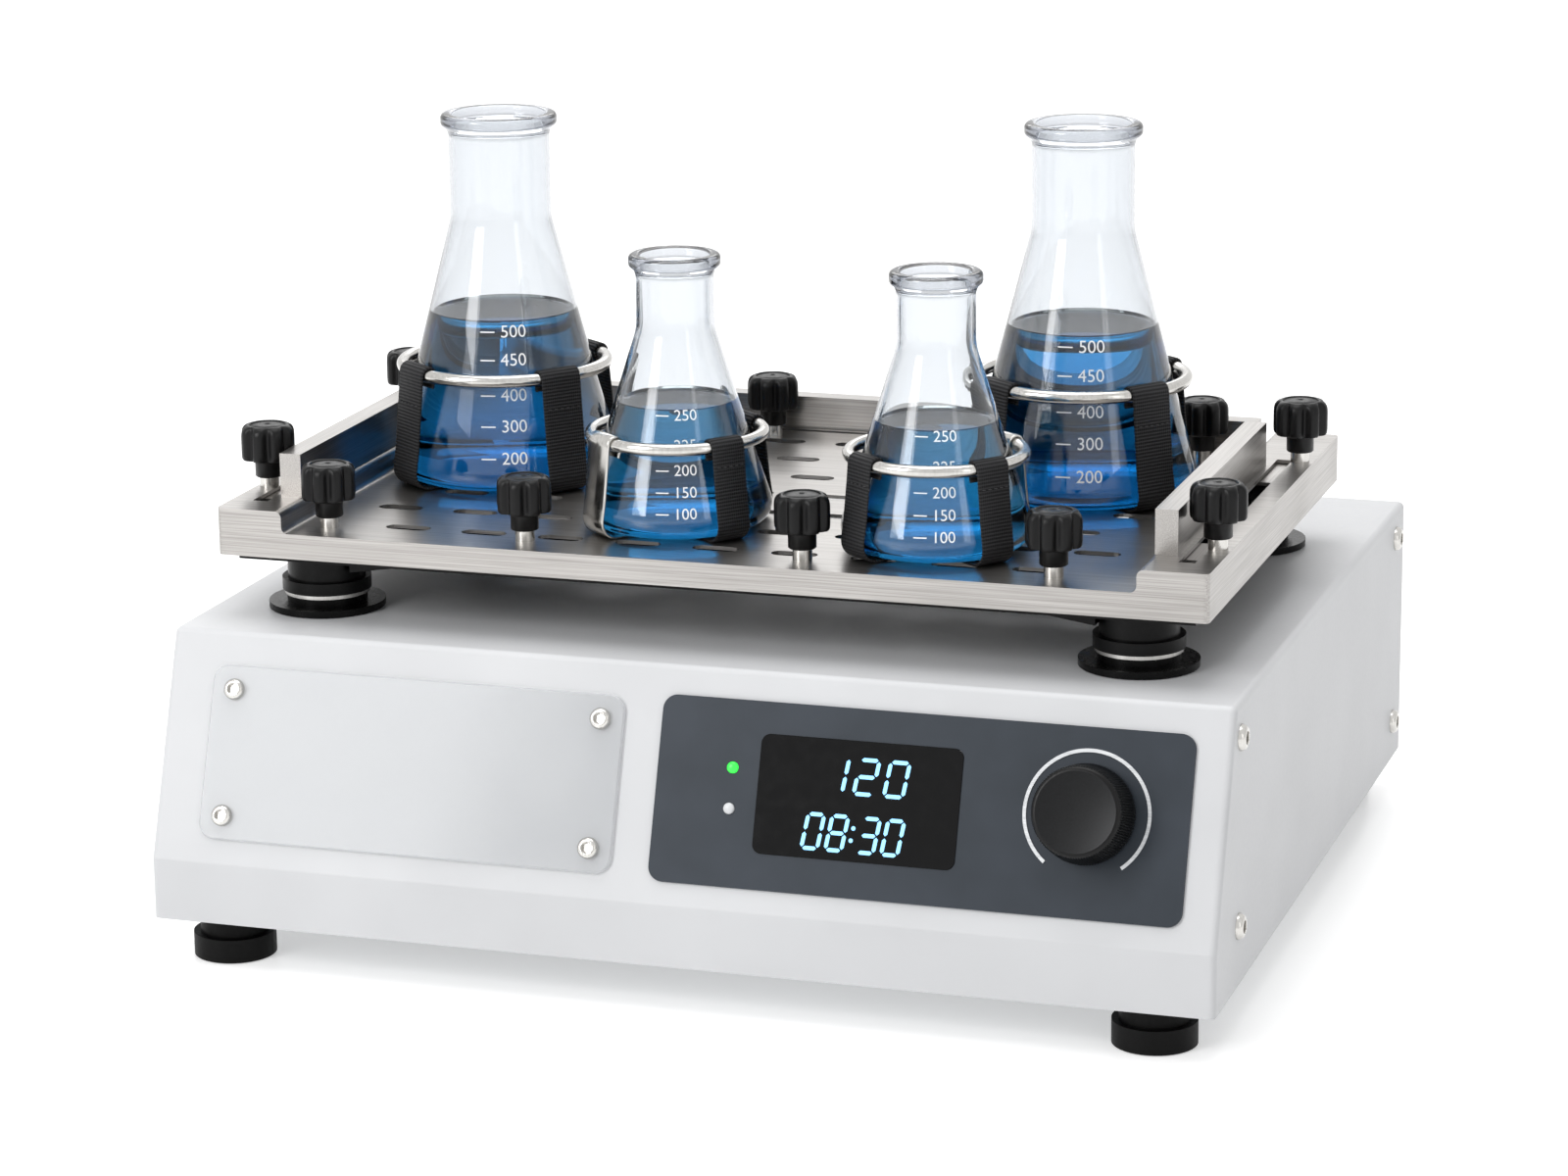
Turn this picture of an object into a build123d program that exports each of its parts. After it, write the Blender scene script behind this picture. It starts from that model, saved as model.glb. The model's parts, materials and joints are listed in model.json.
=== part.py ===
from build123d import *
import math
import os

# Orbital shaker with four clamped flasks. Millimetres, Z up, the front faces -Y.
# The origin lies on the bench under the middle of the housing.

# Housing: a folded cover over a chassis, with a sloping front
HOUSING_WIDTH = 480.0
HOUSING_DEPTH = 413.0
HOUSING_TOP = 143.6
FOOT_HEIGHT = 19.0
CREASE_HEIGHT = 46.5
SLOPE_SETBACK = 34.5
COVER_WALL = 2.0
COVER_EDGE_RADIUS = 3.0
CHASSIS_WALL = 2.5
CHASSIS_FIT = 0.2
CHASSIS_FRAME = 34.0
CHASSIS_TOP_GAP = 1.0

# Feet
FOOT_RADIUS = 18.3
FOOT_PAD_HEIGHT = 10.5
FOOT_NECK_RADIUS = 15.2
FOOT_INSET_X = 30.0
FOOT_INSET_Y = 20.0
FOOT_RECESS_RADIUS = 7.0
FOOT_RECESS_DEPTH = 8.0
FOOT_BOLT_RADIUS = 3.0
FOOT_BOLT_HEAD_RADIUS = 5.0
FOOT_BOLT_HEAD_HEIGHT = 4.0
FOOT_NUT_RADIUS = 5.5
FOOT_NUT_HEIGHT = 4.0
BOLT_CLEARANCE = 0.15

# Button-head screws of the cover, as height and depth places on each side
SIDE_SCREW_RADIUS = 5.8
SIDE_SCREW_HEAD = 3.0
SIDE_SCREW_SHANK = 2.5
SIDE_SCREW_REACH = 9.0
SIDE_SCREW_FRONT = (-164.0, 46.0, 128.5)
SIDE_SCREW_REAR = (184.0, 38.0, 130.0)

# Orbit: the platform circles this axis at the eccentric radius
ORBIT_Y = -10.0
ECCENTRICITY = 5.0
REST_PHASE = 246.0

# Platform tray
TRAY_WIDTH = 450.0
TRAY_DEPTH = 273.6
TRAY_BOTTOM = 172.5
DECK_TOP = 183.8
RAIL_TOP = 193.8
RAIL_WIDTH = 31.0
TRAY_SHEET = 1.6
TRAY_BEND = 3.0
TRAY_EDGE_RADIUS = 1.2
DECK_SLOT_LENGTH = 21.0
DECK_SLOT_WIDTH = 8.0
SLOT_END_SIDES = 6
DECK_PITCH_X = 36.0
DECK_PITCH_Y = 35.0
DECK_MARGIN_X = 36.0
DECK_MARGIN_FRONT = 26.0
DECK_MARGIN_REAR = 36.0

# Clamp bars beside the long slots of the rails, and the rear bar
BAR_WIDTH = 10.0
BAR_HEIGHT = 20.0
BAR_LENGTH = 176.0
BAR_WALL = 1.5
BAR_CENTRE_X = 200.5
BAR_CENTRE_Y = -22.0
BAR_TRAVEL = 8.0
RAIL_SLOT_WIDTH = 7.0
RAIL_SLOT_GAP = 2.5
RAIL_SLOT_FRONT = -119.5
RAIL_SLOT_REAR = 79.0
LUG_WIDTH = 5.0
LUG_LENGTH = 14.0
LUG_CLEARANCE = 0.3
TAB_THICKNESS = 1.6
TAB_LENGTH = 30.0
REAR_BAR_LENGTH = 376.0
REAR_BAR_HEIGHT = 16.0
REAR_SLOT_WIDTH = 6.0

# Star knobs and their studs
KNOB_LOBES = 8
KNOB_RADIUS = 12.3
KNOB_GROOVE = 2.0
KNOB_LOBE_HALF_ANGLE = 15.0
KNOB_HEAD_HEIGHT = 16.0
KNOB_BEVEL = 2.5
KNOB_COLLAR_RADIUS = 6.2
KNOB_COLLAR_HEIGHT = 8.0
STUD_RADIUS = 4.3
STUD_CLEARANCE = 0.08
STUD_SHOWN = 5.0
STUD_THREAD = 15.0
STUD_SHANK_RADIUS = 3.0
STUD_HEAD_RADIUS = 4.4
STUD_HEAD_HEIGHT = 3.5
RAIL_KNOB_X = 218.8
RAIL_KNOB_FRONT = -92.5
RAIL_KNOB_REAR = 77.5
DECK_KNOB_FRONT = -118.5
DECK_KNOB_REAR = 112.6
DECK_KNOBS_FRONT_X = (-178.5, -85.6, 42.1, 153.7)
DECK_KNOBS_REAR_X = (-46.0, 165.0)

# Subframe under the tray and the support posts that stand through the cover
SUBFRAME_INSET = 7.0
SUBFRAME_THICKNESS = 3.0
SUBFRAME_BEAM = 60.0
SUBFRAME_SEAT = 16.0
GUSSET_HEIGHT = 7.0
GUSSET_LENGTH = 46.0
POST_X = 187.5
POST_FRONT = -103.4
POST_REAR = 116.6
POST_NECK_RADIUS = 17.4
POST_COLLAR_RADIUS = 20.0
POST_COLLAR_HEIGHT = 5.5
POST_SHAFT_RADIUS = 10.0
POST_HOLE_CLEARANCE = 1.5
SEAL_RADIUS = 26.2
SEAL_THICKNESS = 3.0
SEAL_HUB_RADIUS = 18.0
SEAL_HUB_HEIGHT = 3.5
SEAL_GAP = 0.4
POST_RING_RADIUS = 19.2
POST_RING_HEIGHT = 1.8
POST_FIT = 0.05

# Carrier inside the housing, which joins the posts to the eccentric
CARRIER_BOTTOM = 120.0
CARRIER_THICKNESS = 5.0
CARRIER_ARM_WIDTH = 26.0
CARRIER_HUB_RADIUS = 22.0
CARRIER_HUB_HEIGHT = 14.0
CARRIER_BOSS_RADIUS = 13.0
CARRIER_BOSS_DROP = 8.0
CARRIER_WINDOW = 36.0

# Drive spindle, its housing and the counterweight
SPINDLE_RADIUS = 9.0
SPINDLE_BEARING_RADIUS = 17.5
SPINDLE_BEARING_HEIGHT = 10.0
SPINDLE_HOUSING_RADIUS = 25.0
SPINDLE_HOUSING_HEIGHT = 62.0
SPINDLE_FLANGE = 80.0
SPINDLE_FLANGE_THICKNESS = 6.0
ECCENTRIC_PIN_RADIUS = 7.0
ECCENTRIC_WEB_RADIUS = 14.0
ECCENTRIC_WEB_HEIGHT = 5.0
COUNTERWEIGHT_RADIUS = 46.0
COUNTERWEIGHT_THICKNESS = 8.0
COUNTERWEIGHT_HUB = 16.0
RUNNING_FIT = 0.05
STACK_GAP = 1.0

# Belt drive
BIG_PULLEY_RADIUS = 50.0
SMALL_PULLEY_RADIUS = 18.0
PULLEY_FLANGE = 3.5
PULLEY_FLANGE_THICKNESS = 1.5
BELT_WIDTH = 10.0
BELT_THICKNESS = 1.6
BELT_GAP = 0.25
MOTOR_X = -98.0
MOTOR_Y = 45.0
MOTOR_SIZE = 76.0
MOTOR_HEIGHT = 52.0
MOTOR_SHAFT_RADIUS = 6.0
BRACKET_WALL = 4.0

# Idler cranks under the posts
IDLER_SHAFT_RADIUS = 5.0
IDLER_BEARING_RADIUS = 11.0
IDLER_BEARING_HEIGHT = 8.0
IDLER_PEDESTAL_RADIUS = 16.0
IDLER_PEDESTAL_HEIGHT = 74.0
IDLER_FLANGE = 46.0
IDLER_FLANGE_THICKNESS = 5.0
IDLER_WEB_RADIUS = 12.0
IDLER_WEB_HEIGHT = 5.0
IDLER_PIN_REACH = 14.0
OPEN_PIVOT_CLEARANCE = 0.3

# Control panel on the slope, measured up the slope from the crease
PANEL_X = 108.2
PANEL_S = 50.3
PANEL_WIDTH = 233.0
PANEL_HEIGHT = 80.2
PANEL_CORNER = 6.5
PANEL_THICKNESS = 1.2
PANEL_WINDOW_MARGIN = 9.0
DISPLAY_X = 81.7
DISPLAY_S = 51.2
DISPLAY_WIDTH = 89.0
DISPLAY_HEIGHT = 50.9
DISPLAY_CORNER = 4.0
DISPLAY_THICKNESS = 1.5
DISPLAY_FIT = 0.1
LED_X = 25.3
LED_SPEED_S = 61.2
LED_TIME_S = 43.7
LED_RADIUS = 2.5
LED_RISE = 0.9
DIAL_X = 181.0
DIAL_S = 53.8
DIAL_RING_RADIUS = 27.5
DIAL_RING_WIDTH = 1.5
DIAL_RING_HEIGHT = 0.4
DIAL_RING_START = -52.0
DIAL_RING_SWEEP = 284.0
BOARD_DEPTH = 13.0
BOARD_WIDTH = 196.0
BOARD_HEIGHT = 56.0
BOARD_THICKNESS = 1.6
DIGIT_BLOCK_WIDTH = 78.0
DIGIT_BLOCK_HEIGHT = 42.0
STANDOFF_RADIUS = 3.0

# Push knob on its encoder
DIAL_KNOB_RADIUS = 21.0
DIAL_KNOB_FACE_RADIUS = 18.0
DIAL_KNOB_HEIGHT = 22.0
DIAL_KNOB_GAP = 1.6
DIAL_KNOB_BEVEL = 1.6
PUSH_TRAVEL = 0.8
ENCODER_SIZE = 14.0
ENCODER_HEIGHT = 7.0
ENCODER_BUSH_RADIUS = 4.5
ENCODER_BUSH_RISE = 3.0
ENCODER_SHAFT_RADIUS = 3.0
ENCODER_SHAFT_RISE = 18.0

# Front plate and its screws
PLATE_X = -121.6
PLATE_S = 49.5
PLATE_WIDTH = 193.0
PLATE_HEIGHT = 77.3
PLATE_CORNER = 7.5
PLATE_THICKNESS = 2.0
PLATE_BEVEL = 0.8
PLATE_SCREW_INSET = 10.8
PLATE_SCREW_RADIUS = 4.8
PLATE_SCREW_HEAD = 2.6
PLATE_SCREW_SHANK = 2.0
PLATE_SCREW_REACH = 8.0
SCREW_SOCKET_SHARE = 0.5

# Power entry on the rear wall, power supply inside
ENTRY_X = -150.0
ENTRY_Z = 66.0
ENTRY_WIDTH = 50.0
ENTRY_HEIGHT = 62.0
ENTRY_FLANGE = 2.5
ENTRY_BODY_INSET = 4.0
ENTRY_DEPTH = 26.0
SOCKET_WIDTH = 24.0
SOCKET_HEIGHT = 16.5
SOCKET_DEPTH = 16.5
SOCKET_DROP = 13.0
SOCKET_PIN_LENGTH = 10.0
ROCKER_WIDTH = 12.0
ROCKER_HEIGHT = 20.0
ROCKER_DEPTH = 9.0
ROCKER_LIFT = 15.0
ROCKER_CLEARANCE = 0.5
ROCKER_TILT = 12.0
ROCKER_PIN_RADIUS = 1.5
VENT_COUNT = 9
VENT_PITCH = 12.0
VENT_WIDTH = 4.0
VENT_HEIGHT = 44.0
VENT_X = 96.0
VENT_Z = 86.0
SUPPLY_X = 96.0
SUPPLY_Y = 100.0
SUPPLY_WIDTH = 98.0
SUPPLY_DEPTH = 62.0
SUPPLY_HEIGHT = 36.0
SUPPLY_STANDOFF = 5.0

# Flasks, as base radius, height, neck radius, rim radius, bend height and liquid level
BIG_FLASK = {"base": 52.5, "height": 168.0, "neck": 23.2, "rim": 26.7, "bend": 120.0, "level": 76.0}
SMALL_FLASK = {"base": 42.5, "height": 121.0, "neck": 17.3, "rim": 20.4, "bend": 88.0, "level": 55.0}
GLASS_WALL = 1.8
GLASS_BASE_ROUND = 8.0
RIM_HEIGHT = 5.0
LIQUID_GAP = 0.1

# Flask holders: a wire ring above the base, and four flat legs under it
BIG_HOLDER = {"ring": 47.0, "height": 52.0, "wire": 3.0, "strap": 20.5}
SMALL_HOLDER = {"ring": 38.0, "height": 41.0, "wire": 2.8, "strap": 16.5}
STRAP_THICKNESS = 1.2
STRAP_SLEEVE = 0.7
STRAP_GAP = 0.4
LEG_START = -38.0
LEG_COUNT = 4

# Values worked out from those above
BASE_FLOOR = FOOT_HEIGHT + CHASSIS_WALL
SLOPE_RISE = HOUSING_TOP - CREASE_HEIGHT
SLOPE_LENGTH = math.hypot(SLOPE_SETBACK, SLOPE_RISE)
SLOPE_COS = SLOPE_RISE / SLOPE_LENGTH
SLOPE_SIN = SLOPE_SETBACK / SLOPE_LENGTH
FRONT_Y = -HOUSING_DEPTH / 2
REAR_Y = HOUSING_DEPTH / 2
PLATFORM_X = ECCENTRICITY * math.cos(math.radians(REST_PHASE))
PLATFORM_Y = ORBIT_Y + ECCENTRICITY * math.sin(math.radians(REST_PHASE))
SUBFRAME_BOTTOM = TRAY_BOTTOM - SUBFRAME_THICKNESS
SEAL_BOTTOM = HOUSING_TOP + SEAL_GAP
SEAL_TOP = SEAL_BOTTOM + SEAL_THICKNESS + SEAL_HUB_HEIGHT
POST_COLLAR_BOTTOM = SEAL_TOP + POST_RING_HEIGHT
POST_HOLE_RADIUS = POST_SHAFT_RADIUS + ECCENTRICITY + POST_HOLE_CLEARANCE
SPINDLE_TOP = BASE_FLOOR + SPINDLE_HOUSING_HEIGHT
PULLEY_BOTTOM = SPINDLE_TOP + 2 * STACK_GAP
PULLEY_HEIGHT = BELT_WIDTH + 2 * STACK_GAP
COUNTERWEIGHT_BOTTOM = PULLEY_BOTTOM + PULLEY_HEIGHT + 2 * STACK_GAP
WEB_BOTTOM = COUNTERWEIGHT_BOTTOM + COUNTERWEIGHT_THICKNESS
HUB_BOTTOM = WEB_BOTTOM + ECCENTRIC_WEB_HEIGHT + STACK_GAP
CARRIER_TOP = CARRIER_BOTTOM + CARRIER_THICKNESS
BOSS_BOTTOM = CARRIER_BOTTOM - CARRIER_BOSS_DROP
IDLER_TOP = BASE_FLOOR + IDLER_PEDESTAL_HEIGHT
IDLER_WEB_TOP = IDLER_TOP + STACK_GAP + IDLER_WEB_HEIGHT
POSTS = [(side * POST_X, y) for side in (-1, 1) for y in (POST_FRONT, POST_REAR)]
FLASK_FLOOR = DECK_TOP + STRAP_THICKNESS
FLASKS = {
    "big_left": (BIG_FLASK, BIG_HOLDER, -140.4, 2.0),
    "big_right": (BIG_FLASK, BIG_HOLDER, 126.4, 36.8),
    "small_left": (SMALL_FLASK, SMALL_HOLDER, -30.2, -72.5),
    "small_right": (SMALL_FLASK, SMALL_HOLDER, 91.9, -82.6),
}
STEEL_LEGS = (("small_left", 3), ("small_right", 1))
BASE = (Align.CENTER, Align.CENTER, Align.MIN)


def turned(*outline):
    """Solid of revolution about Z of an outline of (radius, height) points."""
    return revolve(Plane.XZ * make_face(Polyline(*outline, close=True)), axis=Axis.Z)


def rod(radius, bottom, top):
    """Upright cylinder between two heights."""
    return Pos(0, 0, bottom) * Cylinder(radius, top - bottom, align=BASE)


def tube(outer, inner, bottom, top):
    """Upright tube between two heights."""
    return rod(outer, bottom, top) - rod(inner, bottom - 1, top + 1)


def block(x0, x1, y0, y1, z0, z1):
    """Box between two corners."""
    return Pos(x0, y0, z0) * Box(x1 - x0, y1 - y0, z1 - z0, align=(Align.MIN,) * 3)


def on_platform(shape):
    """Move a shape from the platform's own centre to its rest place."""
    return Pos(PLATFORM_X, PLATFORM_Y, 0) * shape


def on_slope(x, s, lift=0.0):
    """Plane on the sloping front: x across, s up the slope, Z out of the cover."""
    y = FRONT_Y + s * SLOPE_SIN - lift * SLOPE_COS
    z = CREASE_HEIGHT + s * SLOPE_COS + lift * SLOPE_SIN
    return Plane(origin=(x, y, z), x_dir=(1, 0, 0), z_dir=(0, -SLOPE_COS, SLOPE_SIN))


def slope_plate(x, s, width, height, corner, bottom, top):
    """Round-cornered plate lying parallel to the slope, between two lifts."""
    return extrude(on_slope(x, s, bottom) * RectangleRounded(width, height, corner), top - bottom)


def slope_rod(x, s, radius, bottom, top):
    """Cylinder standing on the slope, between two lifts."""
    return extrude(on_slope(x, s, bottom) * Circle(radius), top - bottom)


def side_outline(inset, bottom, top_inset=None):
    """Housing seen from the side, moved in by inset, as a face in the YZ plane."""
    top = HOUSING_TOP - (inset if top_inset is None else top_inset)
    front = FRONT_Y + inset
    crease = CREASE_HEIGHT - inset * SLOPE_SIN + inset * (1 - SLOPE_COS) / SLOPE_SIN * SLOPE_COS
    brow = front + (top - crease) * SLOPE_SETBACK / SLOPE_RISE
    corners = [(front, bottom), (front, crease), (brow, top), (REAR_Y - inset, top), (REAR_Y - inset, bottom)]
    return Plane.YZ * make_face(Polyline(*corners, close=True))


def side_screw_places():
    """The eight (side, y, z) places of the cover's screws."""
    places = []
    for y, low, high in (SIDE_SCREW_FRONT, SIDE_SCREW_REAR):
        places += [(side, y, z) for side in (-1, 1) for z in (low, high)]
    return places


def cross_hole(side, y, z, radius, reach):
    """Horizontal cylinder along X that crosses one side wall."""
    start = side * (HOUSING_WIDTH / 2 + 1)
    return Pos(start, y, z) * Rot(0, -90 * side, 0) * Cylinder(radius, reach, align=BASE)


def housing_cover():
    shell = extrude(side_outline(0, FOOT_HEIGHT), HOUSING_WIDTH / 2, both=True)
    bottom_edges = shell.edges().group_by(Axis.Z)[0]
    shell = fillet([e for e in shell.edges() if e not in bottom_edges], COVER_EDGE_RADIUS)
    hollow = side_outline(COVER_WALL, FOOT_HEIGHT - 5)
    shell -= extrude(hollow, HOUSING_WIDTH / 2 - COVER_WALL, both=True)
    for x, y in POSTS:
        shell -= Pos(x, ORBIT_Y + y, 0) * rod(POST_HOLE_RADIUS, HOUSING_TOP - 10, HOUSING_TOP + 10)
    for side, y, z in side_screw_places():
        shell -= cross_hole(side, y, z, SIDE_SCREW_SHANK + BOLT_CLEARANCE, 6)
    for x, s in plate_screw_places():
        shell -= slope_rod(x, s, PLATE_SCREW_SHANK + BOLT_CLEARANCE, -5, 5)
    window = (PANEL_WIDTH - 2 * PANEL_WINDOW_MARGIN, PANEL_HEIGHT - 2 * PANEL_WINDOW_MARGIN)
    shell -= slope_plate(PANEL_X, PANEL_S, *window, PANEL_CORNER, -5, 5)
    entry = (ENTRY_WIDTH - 2 * ENTRY_BODY_INSET + 1, ENTRY_HEIGHT - 2 * ENTRY_BODY_INSET + 1)
    shell -= Pos(ENTRY_X, REAR_Y, ENTRY_Z) * Box(entry[0], 10, entry[1])
    slot = Rot(90, 0, 0) * extrude(Rot(0, 0, 90) * slot_outline(VENT_HEIGHT, VENT_WIDTH), 5, both=True)
    for column in range(VENT_COUNT):
        x = VENT_X + (column - (VENT_COUNT - 1) / 2) * VENT_PITCH
        shell -= Pos(x, REAR_Y, VENT_Z) * slot
    return [shell]


def chassis():
    """Floor plate with a framed side wall at each end, which the cover is screwed to."""
    inset = COVER_WALL + CHASSIS_FIT
    half = HOUSING_WIDTH / 2 - inset
    floor = block(-half, half, FRONT_Y + inset, REAR_Y - inset, FOOT_HEIGHT, BASE_FLOOR)
    wall = side_outline(inset, FOOT_HEIGHT, inset + CHASSIS_TOP_GAP)
    sill = Plane.YZ * (Pos(0, FOOT_HEIGHT) * Rectangle(2 * HOUSING_DEPTH, 2 * CHASSIS_FRAME))
    wall -= side_outline(CHASSIS_FRAME, FOOT_HEIGHT) - sill
    for side in (-1, 1):
        floor += Pos(side * (half - CHASSIS_WALL / 2), 0, 0) * extrude(wall, CHASSIS_WALL / 2, both=True)
    for side, y, z in side_screw_places():
        floor -= cross_hole(side, y, z, SIDE_SCREW_SHANK + BOLT_CLEARANCE, 10)
    for x, y in foot_places():
        floor -= Pos(x, y, 0) * rod(FOOT_BOLT_RADIUS + BOLT_CLEARANCE, FOOT_HEIGHT - 5, BASE_FLOOR + 5)
    return [floor]


def foot_places():
    x = HOUSING_WIDTH / 2 - FOOT_INSET_X
    y = HOUSING_DEPTH / 2 - FOOT_INSET_Y
    return [(sx * x, sy * y) for sx in (-1, 1) for sy in (-1, 1)]


def rubber_feet():
    foot = turned(
        (FOOT_RECESS_RADIUS, 0), (FOOT_RADIUS, 0), (FOOT_RADIUS, FOOT_PAD_HEIGHT),
        (FOOT_NECK_RADIUS, FOOT_PAD_HEIGHT), (FOOT_NECK_RADIUS, FOOT_HEIGHT),
        (FOOT_BOLT_RADIUS + BOLT_CLEARANCE, FOOT_HEIGHT),
        (FOOT_BOLT_RADIUS + BOLT_CLEARANCE, FOOT_RECESS_DEPTH), (FOOT_RECESS_RADIUS, FOOT_RECESS_DEPTH),
    )
    return [Pos(x, y, 0) * foot for x, y in foot_places()]


def foot_bolts():
    head = FOOT_RECESS_DEPTH - FOOT_BOLT_HEAD_HEIGHT
    nut_top = BASE_FLOOR + FOOT_NUT_HEIGHT
    bolt = rod(FOOT_BOLT_HEAD_RADIUS, head, FOOT_RECESS_DEPTH)
    bolt += rod(FOOT_BOLT_RADIUS, FOOT_RECESS_DEPTH, nut_top + STACK_GAP)
    nut = Pos(0, 0, BASE_FLOOR) * extrude(RegularPolygon(FOOT_NUT_RADIUS, 6), FOOT_NUT_HEIGHT)
    nut -= rod(FOOT_BOLT_RADIUS + BOLT_CLEARANCE, BASE_FLOOR - 1, nut_top + 1)
    return [Pos(x, y, 0) * piece for x, y in foot_places() for piece in (bolt, nut)]


def button_screw(radius, head, shank, reach):
    """Button-head screw with a hexagon socket, its head on the plane z = 0."""
    screw = turned((0, -reach), (shank, -reach), (shank, 0), (radius, 0), (radius * 0.72, head), (0, head))
    return screw - Pos(0, 0, head * 0.4) * extrude(RegularPolygon(radius * SCREW_SOCKET_SHARE, 6), head)


def side_screws():
    screw = button_screw(SIDE_SCREW_RADIUS, SIDE_SCREW_HEAD, SIDE_SCREW_SHANK, SIDE_SCREW_REACH)
    return [Pos(side * HOUSING_WIDTH / 2, y, z) * Rot(0, 90 * side, 0) * screw for side, y, z in side_screw_places()]


def plate_screw_places():
    across = PLATE_WIDTH / 2 - PLATE_SCREW_INSET
    up = PLATE_HEIGHT / 2 - PLATE_SCREW_INSET
    return [(PLATE_X + sx * across, PLATE_S + su * up) for sx in (-1, 1) for su in (-1, 1)]


def front_plate():
    plate = slope_plate(PLATE_X, PLATE_S, PLATE_WIDTH, PLATE_HEIGHT, PLATE_CORNER, 0, PLATE_THICKNESS)
    top = plate.faces().sort_by(Axis(on_slope(PLATE_X, PLATE_S).origin, on_slope(0, 0).z_dir))[-1]
    plate = chamfer(top.edges(), PLATE_BEVEL)
    for x, s in plate_screw_places():
        plate -= slope_rod(x, s, PLATE_SCREW_SHANK + BOLT_CLEARANCE, -1, PLATE_THICKNESS + 1)
    return [plate]


def plate_screws():
    screw = button_screw(PLATE_SCREW_RADIUS, PLATE_SCREW_HEAD, PLATE_SCREW_SHANK, PLATE_SCREW_REACH)
    return [on_slope(x, s, PLATE_THICKNESS).location * screw for x, s in plate_screw_places()]


def control_panel():
    panel = slope_plate(PANEL_X, PANEL_S, PANEL_WIDTH, PANEL_HEIGHT, PANEL_CORNER, 0, PANEL_THICKNESS)
    window = (DISPLAY_WIDTH + 2 * DISPLAY_FIT, DISPLAY_HEIGHT + 2 * DISPLAY_FIT, DISPLAY_CORNER)
    panel -= slope_plate(DISPLAY_X, DISPLAY_S, *window, -1, PANEL_THICKNESS + 1)
    for s in (LED_SPEED_S, LED_TIME_S):
        panel -= slope_rod(LED_X, s, LED_RADIUS + DISPLAY_FIT, -1, PANEL_THICKNESS + 1)
    panel -= slope_rod(DIAL_X, DIAL_S, ENCODER_BUSH_RADIUS + DISPLAY_FIT, -1, PANEL_THICKNESS + 1)
    return [panel]


def display_window():
    top = PANEL_THICKNESS + DIAL_RING_HEIGHT
    size = (DISPLAY_WIDTH, DISPLAY_HEIGHT, DISPLAY_CORNER)
    return [slope_plate(DISPLAY_X, DISPLAY_S, *size, top - DISPLAY_THICKNESS, top)]


def indicator_lights():
    """Two light pipes that stand on the board and end just over the panel."""
    foot = BOARD_THICKNESS - BOARD_DEPTH
    return [slope_rod(LED_X, s, LED_RADIUS, foot, PANEL_THICKNESS + LED_RISE) for s in (LED_SPEED_S, LED_TIME_S)]


def dial_ring():
    """Open ring round the knob, printed thick enough to feel."""
    sector = Circle(DIAL_RING_RADIUS) - Circle(DIAL_RING_RADIUS - DIAL_RING_WIDTH)
    gap = 360 - DIAL_RING_SWEEP
    reach = 2 * DIAL_RING_RADIUS
    half = math.radians(gap / 2)
    middle = math.radians(DIAL_RING_START - gap / 2)
    wedge = [(reach * math.cos(middle + turn), reach * math.sin(middle + turn)) for turn in (-half, half)]
    sector -= make_face(Polyline((0, 0), *wedge, close=True))
    return [extrude(on_slope(DIAL_X, DIAL_S, PANEL_THICKNESS) * sector, DIAL_RING_HEIGHT)]


def control_board():
    """Circuit board behind the panel, with its digit block and standoffs."""
    board = slope_plate(PANEL_X, PANEL_S, BOARD_WIDTH, BOARD_HEIGHT, 2, -BOARD_DEPTH, BOARD_THICKNESS - BOARD_DEPTH)
    front = BOARD_THICKNESS - BOARD_DEPTH
    back = PANEL_THICKNESS + DIAL_RING_HEIGHT - DISPLAY_THICKNESS
    digits = slope_plate(DISPLAY_X, DISPLAY_S, DIGIT_BLOCK_WIDTH, DIGIT_BLOCK_HEIGHT, 1, front, back)
    across = BOARD_WIDTH / 2 - 2 * STANDOFF_RADIUS
    up = BOARD_HEIGHT / 2 - 2 * STANDOFF_RADIUS
    posts = [(PANEL_X + sx * across, PANEL_S + su * up) for sx in (-1, 1) for su in (-1, 1)]
    return [board, digits] + [slope_rod(x, s, STANDOFF_RADIUS, front, 0) for x, s in posts]


def encoder():
    front = BOARD_THICKNESS - BOARD_DEPTH
    body = slope_plate(DIAL_X, DIAL_S, ENCODER_SIZE, ENCODER_SIZE, 1, front, front + ENCODER_HEIGHT)
    body += slope_rod(DIAL_X, DIAL_S, ENCODER_BUSH_RADIUS, front + ENCODER_HEIGHT, ENCODER_BUSH_RISE)
    body -= slope_rod(DIAL_X, DIAL_S, ENCODER_SHAFT_RADIUS + RUNNING_FIT, front + PUSH_TRAVEL, ENCODER_BUSH_RISE + 1)
    return [body]


def encoder_shaft():
    bottom = BOARD_THICKNESS - BOARD_DEPTH + 2 * PUSH_TRAVEL + STACK_GAP
    return [slope_rod(DIAL_X, DIAL_S, ENCODER_SHAFT_RADIUS, bottom, ENCODER_SHAFT_RISE)]


def control_knob():
    """Push knob: a wide grip that narrows to its face, hollow under the skirt."""
    bottom = PANEL_THICKNESS + DIAL_KNOB_GAP
    height = DIAL_KNOB_HEIGHT - bottom
    bore = ENCODER_SHAFT_RADIUS + RUNNING_FIT
    bore_depth = ENCODER_SHAFT_RISE + STACK_GAP - bottom
    skirt = ENCODER_BUSH_RADIUS + 2 * STACK_GAP
    skirt_depth = ENCODER_BUSH_RISE + STACK_GAP + PUSH_TRAVEL - bottom
    knob = turned(
        (skirt, 0), (DIAL_KNOB_RADIUS, 0), (DIAL_KNOB_FACE_RADIUS + DIAL_KNOB_BEVEL, height - DIAL_KNOB_BEVEL),
        (DIAL_KNOB_FACE_RADIUS, height), (0, height), (0, bore_depth), (bore, bore_depth),
        (bore, skirt_depth), (skirt, skirt_depth),
    )
    return [on_slope(DIAL_X, DIAL_S, bottom).location * knob]


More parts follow.
